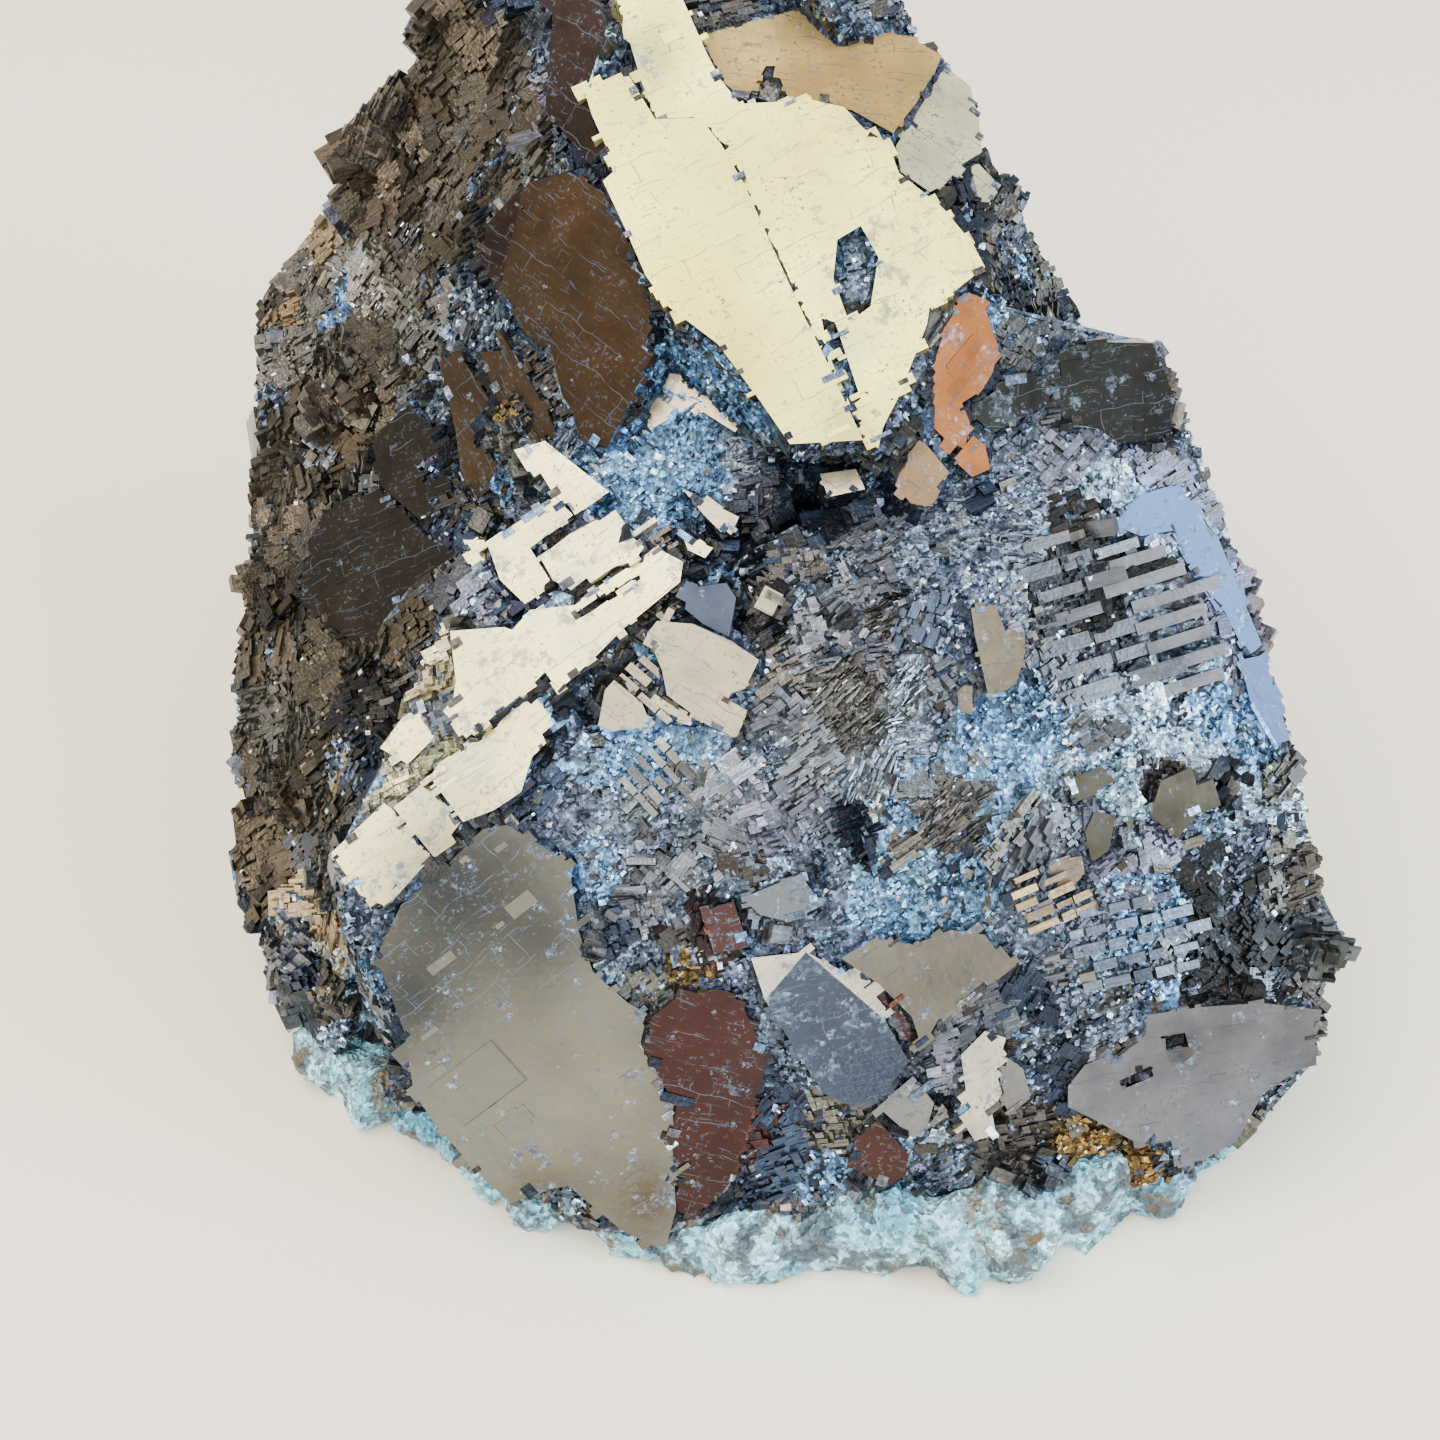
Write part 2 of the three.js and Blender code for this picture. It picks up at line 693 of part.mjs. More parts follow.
// Seeded grains for the sides that the view doesn't show
function hiddenGrains(sampler) {
  const lean = THREE.MathUtils.degToRad(GRAIN_LEAN);
  const centre = new THREE.Vector3();
  const normal = new THREE.Vector3();
  const grains = [];
  while (grains.length < HIDDEN_GRAINS) {
    sampler.sample(centre, normal);
    if (!["side", "rear"].includes(region(centre, normal))) continue;
    const wobble = new THREE.Euler(between([-lean, lean]), between([-lean, lean]), between([0, Math.PI]));
    const turned = new THREE.Quaternion().setFromUnitVectors(new THREE.Vector3(0, 0, 1), normal);
    turned.multiply(new THREE.Quaternion().setFromEuler(wobble));
    grains.push({ centre: centre.clone(), axes: new THREE.Matrix4().makeRotationFromQuaternion(turned) });
  }
  return grains;
}

// One small cleavage block, in its grain's axes, standing proud of the surface
function block(point, axes, size) {
  const lean = THREE.MathUtils.degToRad(size.lean);
  const thick = between(size.thick);
  const shape = new THREE.BoxGeometry(between(size.across), between(size.across), thick);
  const wobble = new THREE.Euler(between([-lean, lean]), between([-lean, lean]), between([-lean, lean]));
  shape.translate(0, 0, between(size.proud) - thick / 2);
  shape.applyMatrix4(new THREE.Matrix4().makeRotationFromEuler(wobble));
  return solid(shape.applyMatrix4(axes.clone().setPosition(point)));
}

function blocks(body) {
  const surface = new THREE.Mesh(toGeometry(body).toNonIndexed());
  surface.geometry.computeVertexNormals();
  const sampler = new MeshSurfaceSampler(surface);
  sampler.setRandomGenerator(() => THREE.MathUtils.seededRandom());
  sampler.build();
  const frontGrains = Object.values(GRAINS).map((grain) => ({
    centre: seen(grain.at),
    axes: crystalAxes(grain),
  }));
  const otherGrains = hiddenGrains(sampler);
  const point = new THREE.Vector3();
  const normal = new THREE.Vector3();
  return Object.entries(BLOCKS).flatMap(([wanted, size]) => {
    const made = [];
    const grains = wanted === "front" ? frontGrains : otherGrains;
    while (made.length < size.count) {
      sampler.sample(point, normal);
      if (region(point, normal) !== wanted) continue;
      const nearest = grains.reduce((a, b) =>
        a.centre.distanceTo(point) < b.centre.distanceTo(point) ? a : b,
      );
      made.push(block(point, nearest.axes, size));
    }
    return made;
  });
}

function flight() {
  const axes = crystalAxes(FLIGHT).setPosition(seen([...FLIGHT.start, FLIGHT.at[2]]));
  const made = [];
  for (let i = 0; i < FLIGHT.ledges; i += 1) {
    const along = FLIGHT.length * between(FLIGHT.lengths);
    const ledge = new THREE.BoxGeometry(along, FLIGHT.width, FLIGHT.thick);
    const middle = along / 2 + between(FLIGHT.shift);
    const height = FLIGHT.top - FLIGHT.thick / 2 + between(FLIGHT.unevenness);
    ledge.translate(middle, -i * FLIGHT.pitch, height);
    made.push(solid(ledge.applyMatrix4(axes)));
  }
  return made;
}

// The quartz, grown all round by a margin
function quartz(grow) {
  const outline = SLAB_OUTLINE.map(([x, y]) => {
    const corner = new THREE.Vector2(x, y);
    return corner.setLength(corner.length() + grow);
  });
  const thickness = SLAB_THICKNESS + grow;
  const shape = new THREE.Shape(outline);
  const slab = new THREE.ExtrudeGeometry(shape, { depth: thickness, bevelEnabled: false });
  const pieces = [solid(slab)];
  THREE.MathUtils.seededRandom(11);
  CRUST_KNOBS.forEach(([x, y, width, height]) => {
    const corners = [];
    for (let i = 0; i < KNOB_CORNERS; i += 1) {
      const corner = new THREE.Vector3(between([-1, 1]), between([-1, 1]), between([0, 1]));
      corner.setLength(between(KNOB_RADIUS));
      corner.multiply(new THREE.Vector3(width / 2, width / 2, height));
      corner.setLength(corner.length() + grow);
      corners.push(corner.add(new THREE.Vector3(x, y, 0)));
    }
    const foot = width * KNOB_FOOT;
    corners.push(new THREE.Vector3(x - foot, y, 0));
    corners.push(new THREE.Vector3(x + foot, y, 0));
    corners.push(new THREE.Vector3(x, y + foot, 0));
    corners.push(new THREE.Vector3(x, y - foot, 0));
    pieces.push(solid(new ConvexGeometry(corners)));
  });
  return wasm.Manifold.union(pieces);
}

// What is below a height, to cut a flat underside
function below(height) {
  const box = new THREE.BoxGeometry(CUT_WIDTH, CUT_WIDTH, CUT_DEPTH);
  return solid(box.translate(0, 0, height - CUT_DEPTH / 2));
}

// The outer body alone, without crumbs cut loose and without gaps shut in between masses
function mainBody(manifold) {
  return manifold.decompose().reduce((a, b) => (a.volume() > b.volume() ? a : b));
}

function galena() {
  THREE.MathUtils.seededRandom(5);
  const body = mainBody(wasm.Manifold.union(Object.values(MASSES).map(mass)));
  const lump = wasm.Manifold.union([body, ...plates(), ...blocks(body), ...flight()])
    .subtract(wasm.Manifold.union(pockets()))
    .subtract(below(SLAB_THICKNESS + CONTACT_GAP))
    .subtract(quartz(CONTACT_GAP));
  return mainBody(lump);
}

function node(name, manifold, color, roughness, metalness) {
  const material = new THREE.MeshStandardMaterial({ color, roughness, metalness, flatShading: true });
  const mesh = new THREE.Mesh(toGeometry(manifold), material);
  mesh.name = name;
  return mesh;
}

const specimen = new THREE.Group();
specimen.add(node("galena", galena(), 0x767a80, 0.3, 0.9));
specimen.add(node("quartz_matrix", quartz(0).subtract(below(0)), 0xc9d0cb, 0.6, 0));

export default specimen;
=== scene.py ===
import bpy
import numpy as np
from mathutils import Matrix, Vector, noise
from mathutils.bvhtree import BVHTree
from mathutils.kdtree import KDTree


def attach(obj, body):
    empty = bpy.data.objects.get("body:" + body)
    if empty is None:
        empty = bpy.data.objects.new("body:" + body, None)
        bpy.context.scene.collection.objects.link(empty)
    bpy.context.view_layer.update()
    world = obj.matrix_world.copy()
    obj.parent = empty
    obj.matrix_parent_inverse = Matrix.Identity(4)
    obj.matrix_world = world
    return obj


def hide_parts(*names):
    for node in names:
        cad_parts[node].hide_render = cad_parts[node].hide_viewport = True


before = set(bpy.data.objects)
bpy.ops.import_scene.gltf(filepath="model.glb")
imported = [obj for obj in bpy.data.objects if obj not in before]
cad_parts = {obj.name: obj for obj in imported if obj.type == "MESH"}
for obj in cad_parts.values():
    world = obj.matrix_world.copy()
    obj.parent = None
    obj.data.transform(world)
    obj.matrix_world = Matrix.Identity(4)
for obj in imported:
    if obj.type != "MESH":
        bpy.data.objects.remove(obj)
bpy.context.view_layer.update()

MM = 0.001
RANDOM = np.random.default_rng(20)

# The view of the specimen's best side, the same as in the CAD
FIELD_WIDTH = 108 * MM
EYE_DISTANCE = 150 * MM
AIM = np.array([0, 0, 36 * MM])
VIEW_PIXELS = 1440
PIXEL = FIELD_WIDTH / VIEW_PIXELS
SENSOR_WIDTH = 36
HALF = np.sqrt(0.5)
RIGHT = np.array([1.0, 0, 0])
UP = np.array([0, HALF, HALF])
TOWARD = np.array([0, -HALF, HALF])
EYE = AIM + EYE_DISTANCE * TOWARD

# The grains whose plates the CAD has: a place on the face, its slope to the right and up the view,
# the angle of a cleavage trace, the colour that the face throws back, painted on as a painted
# reflection, and how tarnished it is
STEP_HEIGHT = 0.45 * MM
GRAINS = {
    "band": ((550, 660, 2.4), (0.15, -0.25), 35, (0.650, 0.590, 0.300), 0.26),
    "crown": ((740, 260, 0), (0.04, -0.2), 26, (0.750, 0.690, 0.215), 0.12),
    "crownTop": ((810, 100, -2.8), (-0.06, -0.5), -8, (0.500, 0.345, 0.125), 0.13),
    "crownSide": ((930, 130, -3.6), (-0.3, -0.35), -35, (0.620, 0.600, 0.400), 0.16),
    "brown": ((560, 300, -5), (0.52, 0.06), -32, (0.038, 0.020, 0.007), 0.03),
    "brownLow": ((480, 430, -7.6), (0.42, 0.12), -60, (0.044, 0.027, 0.012), 0.06),
    "wing": ((380, 560, -13), (0.55, -0.06), 12, (0.015, 0.011, 0.007), 0.06),
    "valley": ((840, 480, -0.6), (0.12, -0.26), -40, (0.54, 0.46, 0.30), 0.16),
    "heart": ((690, 680, 3), (0.08, 0.1), -28, (0.470, 0.410, 0.270), 0.17),
    "plain": ((483, 829, 3.4), (0.06, 0.28), 40, (0.104, 0.098, 0.072), 0.14),
    "red": ((660, 1075, -0.4), (-0.1, 0.36), -20, (0.030, 0.008, 0.006), 0.05),
    "grey": ((830, 1010, 1.8), (-0.06, 0.2), 14, (0.028, 0.038, 0.054), 0.28),
    "shoulder": ((1110, 400, -3), (-0.08, 0.3), 8, (0.018, 0.019, 0.018), 0.20),
    "rust": ((950, 390, -1), (0.1, 0.12), 50, (0.400, 0.145, 0.045), 0.27),
    "edge": ((1190, 560, -3.7), (-0.32, 0.02), -55, (0.052, 0.082, 0.160), 0.22),
    "patch": ((995, 655, 3), (-0.02, -0.1), 5, (0.190, 0.165, 0.115), 0.22),
    "lower": ((990, 1080, -0.7), (-0.06, 0.22), 40, (0.460, 0.430, 0.330), 0.22),
    "corner": ((1180, 1080, -4), (-0.16, 0.24), 8, (0.150, 0.152, 0.170), 0.20),
    "small": ((1150, 820, -0.6), (-0.2, 0.14), 20, (0.085, 0.080, 0.058), 0.20),
    "flight": ((1110, 600, -1.2), (-0.14, 0.02), 17, (0.170, 0.170, 0.180), 0.16),
}
# Plates that differ from their grain: how many steps up, and the colour, a painted reflection as for
# the grains
OWN_COLOURS = {
    ("heart", -1): (0.065, 0.080, 0.12),
    ("red", 5): (0.034, 0.011, 0.009),
    ("grey", 1): (0.11, 0.115, 0.125),
    ("grey", -1): (0.040, 0.014, 0.011),
    ("rust", 2): (0.34, 0.22, 0.12),
    ("small", 2): (0.30, 0.23, 0.15),
    ("lower", 2): (0.12, 0.108, 0.082),
    ("lower", 0): (0.13, 0.125, 0.11),
    ("valley", -2): (0.36, 0.30, 0.20),
    ("brown", 0): (0.018, 0.008, 0.005),
}
# Where a plate is darker or lighter, as painted shade and painted reflection across its face, or
# stained or worn:
# across, down, radius in view pixels, what its colour is multiplied by there, and how much more
# tarnished it is
BLOTCHES = [
    ((455, 890), 105, (0.14, 0.15, 0.18), 0.03),
    ((405, 1000), 64, (0.26, 0.28, 0.34), 0.04),
    ((550, 940), 46, (0.42, 0.44, 0.48), 0.05),
    ((540, 1190), 40, (0.70, 0.60, 0.50), 0.16),
    ((600, 1090), 80, (1.12, 1.08, 1.0), 0.0),
    ((650, 1200), 28, (0.62, 0.45, 0.36), 0.18),
    ((700, 1180), 34, (0.95, 1.35, 1.2), 0.06),
    ((760, 1080), 46, (0.9, 1.3, 1.6), 0.24),
    ((700, 1000), 30, (0.9, 1.0, 1.0), 0.08),
    ((880, 1080), 40, (0.9, 0.9, 0.95), 0.12),
    ((690, 290), 70, (0.80, 0.78, 0.58), -0.06),
    ((880, 280), 60, (0.80, 0.86, 0.98), 0.14),
    ((845, 345), 30, (0.70, 0.78, 0.92), 0.16),
    ((650, 50), 40, (0.48, 0.54, 0.66), 0.18),
    ((745, 350), 60, (0.76, 0.74, 0.70), -0.06),
    ((850, 430), 46, (0.56, 0.60, 0.64), 0.0),
    ((470, 760), 30, (0.72, 0.80, 0.92), 0.12),
    ((570, 590), 26, (0.75, 0.80, 0.90), 0.10),
    ((505, 315), 34, (1.0, 1.4, 1.9), 0.08),
    ((570, 215), 34, (1.35, 1.25, 1.1), 0.0),
    ((610, 350), 30, (1.0, 0.85, 0.65), 0.0),
    ((1185, 1052), 15, (0.38, 0.30, 0.25), 0.2),
    ((1120, 1060), 24, (1.15, 1.12, 1.1), 0.0),
    ((760, 40), 40, (1.35, 1.4, 1.5), 0.06),
    ((870, 60), 40, (0.92, 0.88, 0.80), 0.0),
    ((340, 620), 30, (1.5, 1.45, 1.35), 0.0),
    ((1000, 405), 26, (1.4, 1.5, 1.5), 0.1),
    ((950, 370), 60, (1.0, 1.1, 1.1), 0.03),
]
ALIGNED = 0.9998  # the least cosine between a face and the plate that it belongs to
STEP_TOLERANCE = 0.08  # how far off a whole step a plate may lie, in steps
MOST_STEPS = 9
POCKET_FLOOR = ("crown", -2)  # looks like a plate, but is broken ground
MIRROR_AREA = (9e-6, 80e-6)  # of a hidden flat face that is left bare, in square metres
MIRROR_FULLNESS = 0.2  # its least area as a share of the square of its length

# The looks of the broken ground: the colour, how the crystals are shaped, and where it is found on
# the best side (across, down, radius in view pixels). The colours are partly the galena's own tone and
# partly painted light: the pale blue-white look is a painted highlight, the blue looks painted
# reflection, and the darkest looks painted shade in creases, hollows and on the shaded left flank
LOOKS = {
    # Painted highlight: pale blue-white crystals where the broken ground catches the light
    "highlight": (
        (0.46, 0.68, 0.84),
        "sugar",
        [
            (1115, 495, 28), (1120, 740, 80), (1060, 770, 30), (1185, 965, 18), (590, 60, 20),
            (1100, 965, 20), (905, 905, 22),
        ],
    ),
    "azure": (
        (0.145, 0.29, 0.47),
        "sugar",
        [
            (1000, 770, 64), (885, 920, 64), (1235, 730, 40), (1060, 730, 46), (620, 765, 40),
            (700, 430, 46), (560, 720, 24), (1010, 310, 30), (640, 480, 60), (1120, 930, 40),
            (560, 850, 40), (665, 345, 26), (700, 380, 34), (745, 420, 30),
        ],
    ),
    "blue grey": (
        (0.115, 0.155, 0.215),
        "sugar",
        [
            (620, 850, 70), (950, 560, 60), (770, 1000, 50), (1110, 960, 60), (790, 1070, 46),
            (400, 430, 46), (1130, 665, 46), (830, 860, 40), (1220, 860, 36), (730, 770, 40),
            (1020, 480, 40), (640, 930, 40), (855, 255, 70), (845, 345, 60),
        ],
    ),
    # Painted shade: dark navy in the creases, the valley under the crown and along the plates' lower
    # edges
    "dark shade": (
        (0.014, 0.023, 0.042),
        "mosaic",
        [
            (785, 518, 66), (735, 548, 34), (790, 1140, 36), (785, 1070, 26), (690, 585, 20),
            (640, 640, 16), (585, 700, 18), (550, 745, 16), (500, 800, 16), (840, 495, 30),
            (885, 470, 26), (930, 1050, 18), (1060, 1080, 26), (1240, 800, 30), (1000, 1010, 20),
            (560, 440, 20),
        ],
    ),
    "black": (
        (0.008, 0.007, 0.008),
        "mosaic",
        [
            (758, 618, 22), (1005, 616, 14), (1212, 925, 30), (1205, 790, 18), (1170, 575, 36),
            (1090, 590, 44), (1120, 630, 44), (1070, 560, 34), (360, 700, 40), (1140, 1090, 18),
            (1222, 960, 46), (1225, 900, 46),
        ],
    ),
    "umber": (
        (0.046, 0.04, 0.032),
        "mosaic",
        [
            (1000, 1150, 36), (500, 230, 40), (400, 700, 30), (400, 480, 30), (860, 700, 24),
            (1150, 790, 24),
        ],
    ),
    "shade": (
        (0.066, 0.051, 0.032),
        "slab",
        [
            (440, 150, 100), (470, 60, 60), (290, 480, 90), (280, 820, 80), (350, 650, 60),
            (340, 400, 70), (270, 600, 70), (320, 560, 60),
        ],
    ),
    "streaks": (
        (0.062, 0.06, 0.056),
        "feather",
        [
            (850, 690, 50), (880, 620, 40), (1000, 1150, 30), (770, 750, 30), (940, 830, 30),
            (410, 250, 50),
        ],
    ),
    "grey": (
        (0.105, 0.112, 0.125),
        "mosaic",
        [
            (600, 830, 36), (730, 800, 44), (820, 760, 50), (1060, 830, 44), (860, 600, 50),
            (640, 900, 40), (1020, 600, 30),
        ],
    ),
    "taupe": (
        (0.105, 0.097, 0.08),
        "mosaic",
        [
            (960, 790, 44), (1160, 800, 30), (940, 960, 50), (320, 330, 80), (270, 740, 60),
            (1050, 640, 30), (380, 300, 50),
        ],
    ),
    "silver": (
        (0.21, 0.25, 0.3),
        "feather",
        [
            (905, 680, 26), (880, 740, 40), (1010, 540, 40), (750, 445, 34), (600, 470, 30),
        ],
    ),
    "gold": (
        (0.17, 0.1, 0.028),
        "sugar",
        [
            (700, 970, 22), (1080, 1150, 30), (1140, 1165, 26), (500, 400, 12), (365, 1050, 16),
        ],
    ),
    "beige": (
        (0.34, 0.255, 0.14),
        "mosaic",
        [
            (340, 240, 44), (325, 730, 26), (290, 300, 24), (300, 780, 20), (330, 920, 28),
            (945, 930, 26), (290, 930, 20), (350, 690, 20),
        ],
    ),
    "cream": (
        (0.62, 0.54, 0.31),
        "mosaic",
        [
            (430, 680, 22), (440, 760, 26), (400, 760, 22), (540, 600, 18), (600, 560, 16),
            (520, 690, 16), (500, 560, 16),
        ],
    ),
    "rose": (
        (0.145, 0.145, 0.19),
        "mosaic",
        [
            (1110, 900, 44), (1160, 520, 30), (1225, 600, 40), (770, 845, 30),
        ],
    ),
    "garnet": (
        (0.07, 0.024, 0.018),
        "mosaic",
        [
            (700, 930, 22), (770, 1130, 26), (895, 1000, 16),
        ],
    ),
}
# What the looks are where none of those places is near
COMMON = {
    "highlight": 0.03,
    "azure": 0.06,
    "blue grey": 0.25,
    "dark shade": 0.16,
    "umber": 0.12,
    "grey": 0.2,
    "taupe": 0.12,
    "rose": 0.04,
}
COMMON_WEIGHT = 0.08
REACH = 0.75  # how far a look reaches from its place, as a share of the radius

# How crystals are shaped: length and width in millimetres, their spread, how far they lean and turn
# in radians, how granular their faces are, and how much they differ in brightness
STYLES = {
    "mosaic": dict(size=(0.75, 0.50), spread=0.6, lean=0.04, turn=0.05, grain=0.5, contrast=0.2),
    "slab": dict(size=(1.1, 0.8), spread=0.45, lean=0.03, turn=0.08, grain=0.6, contrast=0.12),
    "sugar": dict(size=(0.42, 0.34), spread=0.35, lean=0.30, turn=0.5, grain=0.95, contrast=0.55),
    "feather": dict(size=(0.95, 0.15), spread=0.35, lean=0.14, turn=0.16, grain=0.6, contrast=0.4),
}


def unit(vectors):
    return vectors / np.linalg.norm(vectors, axis=-1, keepdims=True)


def seen(across, down, rise):
    """The place that the view shows at a pixel, rise millimetres in front of the aim plane."""
    scale = PIXEL * (EYE_DISTANCE - rise * MM) / EYE_DISTANCE
    offset = (across - VIEW_PIXELS / 2) * scale * RIGHT + (VIEW_PIXELS / 2 - down) * scale * UP
    return AIM + rise * MM * TOWARD + offset


def face_out(slope):
    return unit(TOWARD - slope[0] * RIGHT - slope[1] * UP)


def trace_in_face(out, turn):
    angle = np.radians(turn)
    trace = np.cos(angle) * RIGHT + np.sin(angle) * UP
    return unit(trace - (trace @ out) * out)


class Solid:
    """A CAD node as arrays, with a tree for finding the nearest face."""

    def __init__(self, node):
        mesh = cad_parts[node].data
        mesh.calc_loop_triangles()
        points = np.round([vertex.co for vertex in mesh.vertices], 8)
        self.points, welded = np.unique(points, axis=0, return_inverse=True)
        self.faces = welded.reshape(-1)[np.array([t.vertices for t in mesh.loop_triangles])]
        corners = self.points[self.faces]
        across = np.cross(corners[:, 1] - corners[:, 0], corners[:, 2] - corners[:, 0])
        self.areas = np.linalg.norm(across, axis=1) / 2
        self.normals = across / np.maximum(2 * self.areas, 1e-15)[:, None]
        self.centres = corners.mean(1)
        self.tree = BVHTree.FromPolygons(self.points.tolist(), self.faces.tolist())

    def sample(self, count, weights):
        """Seeded points spread over the faces by area and weight, with the faces that they lie on."""
        chance = self.areas * weights
        picked = RANDOM.choice(len(self.faces), count, p=chance / chance.sum())
        a, b = RANDOM.random(count), RANDOM.random(count)
        over = a + b > 1
        a[over], b[over] = 1 - a[over], 1 - b[over]
        corners = self.points[self.faces[picked]]
        sides = corners[:, 1:] - corners[:, :1]
        return corners[:, 0] + a[:, None] * sides[:, 0] + b[:, None] * sides[:, 1], picked

    def seen_at(self, across, down):
        """The place on the surface that the view shows at a pixel."""
        way = unit(seen(across, down, 0) - EYE)
        hit = self.tree.ray_cast(Vector(EYE), Vector(way))[0]
        return seen(across, down, -10) if hit is None else np.array(hit)


solid = Solid("galena")


def plates_of_faces():
    """For each face the grain whose plate it is on, and how many steps up; None where it is rough."""
    owners = np.full(len(solid.faces), None, dtype=object)
    for name, (at, slope, *_) in GRAINS.items():
        out = face_out(slope)
        aligned = solid.normals @ out > ALIGNED
        height = (solid.centres - seen(*at)) @ out / STEP_HEIGHT
        step = np.round(height)
        on_step = (np.abs(height - step) < STEP_TOLERANCE) | (name == "flight")
        for face in np.flatnonzero(aligned & on_step & (np.abs(height) < MOST_STEPS)):
            if (name, int(step[face])) != POCKET_FLOOR:
                owners[face] = (name, int(step[face]))
    return owners


def bare_faces():
    """Flat faces of middling size away from the best side: cleaved faces with no grain of their own."""
    planes = {}
    offsets = (solid.centres * solid.normals).sum(1)
    keys = np.round(np.column_stack([solid.normals * 500, offsets / (0.05 * MM)])).astype(int)
    for face, key in enumerate(map(tuple, keys)):
        planes.setdefault(key, []).append(face)
    bare = np.zeros(len(solid.faces), bool)
    for key in sorted(planes):
        area = solid.areas[planes[key]].sum()
        corners = solid.points[solid.faces[planes[key]]].reshape(-1, 3)
        length = np.linalg.norm(np.ptp(corners, axis=0))
        full = area > MIRROR_FULLNESS * length**2
        bare[planes[key]] = full and MIRROR_AREA[0] < area < MIRROR_AREA[1]
    return bare


owners = plates_of_faces()
on_grain = np.array([owner is not None for owner in owners])
grain_names = np.array([owner[0] if owner else "" for owner in owners])
grain_steps = np.array([owner[1] if owner else 0 for owner in owners])
facing = (solid.normals * unit(EYE - solid.centres)).sum(1)
hidden_bare = bare_faces() & ~on_grain & (facing < 0.2)
is_plate = on_grain | hidden_bare

# Where each look is found
look_names = list(LOOKS)
look_colours = np.array([LOOKS[name][0] for name in look_names])
look_styles = np.array([LOOKS[name][1] for name in look_names])
spots = [
    (solid.seen_at(x, y), radius * PIXEL, i)
    for i, name in enumerate(look_names)
    for x, y, radius in LOOKS[name][2]
]


def pick_looks(points):
    """A look for each point: what is found near it, or now and then one of the common looks."""
    weights = np.tile([COMMON.get(name, 0.0) * COMMON_WEIGHT for name in look_names], (len(points), 1))
    for centre, radius, look in spots:
        distance = np.linalg.norm(points - centre, axis=1)
        weights[:, look] += np.exp(-((distance / (REACH * radius)) ** 2))
    chance = np.cumsum(weights, axis=1)
    chance /= chance[:, -1:]
    return (RANDOM.random((len(points), 1)) > chance).sum(1)


def new_object(name, points, faces, material):
    mesh = bpy.data.meshes.new(name)
    mesh.from_pydata(points.tolist(), [], faces.tolist())
    mesh.update()
    mesh.materials.append(material)
    piece = bpy.data.objects.new(name, mesh)
    bpy.context.scene.collection.objects.link(piece)
    return piece


def paint(piece, colours, grain):
    """A colour and a graininess for each face, kept on its corners."""
    mesh = piece.data
    counts = np.empty(len(mesh.polygons), int)
    mesh.polygons.foreach_get("loop_total", counts)
    values = np.repeat(np.column_stack([colours, grain]), counts, axis=0)
    layer = mesh.color_attributes.new("tint", "FLOAT_COLOR", "CORNER")
    layer.data.foreach_set("color", values.ravel())


def lay(piece, per_corner):
    """Where each corner is in the axes of its crystal, in millimetres."""
    layer = piece.data.attributes.new("lattice", "FLOAT_VECTOR", "CORNER")
    layer.data.foreach_set("vector", np.ascontiguousarray(per_corner).ravel())


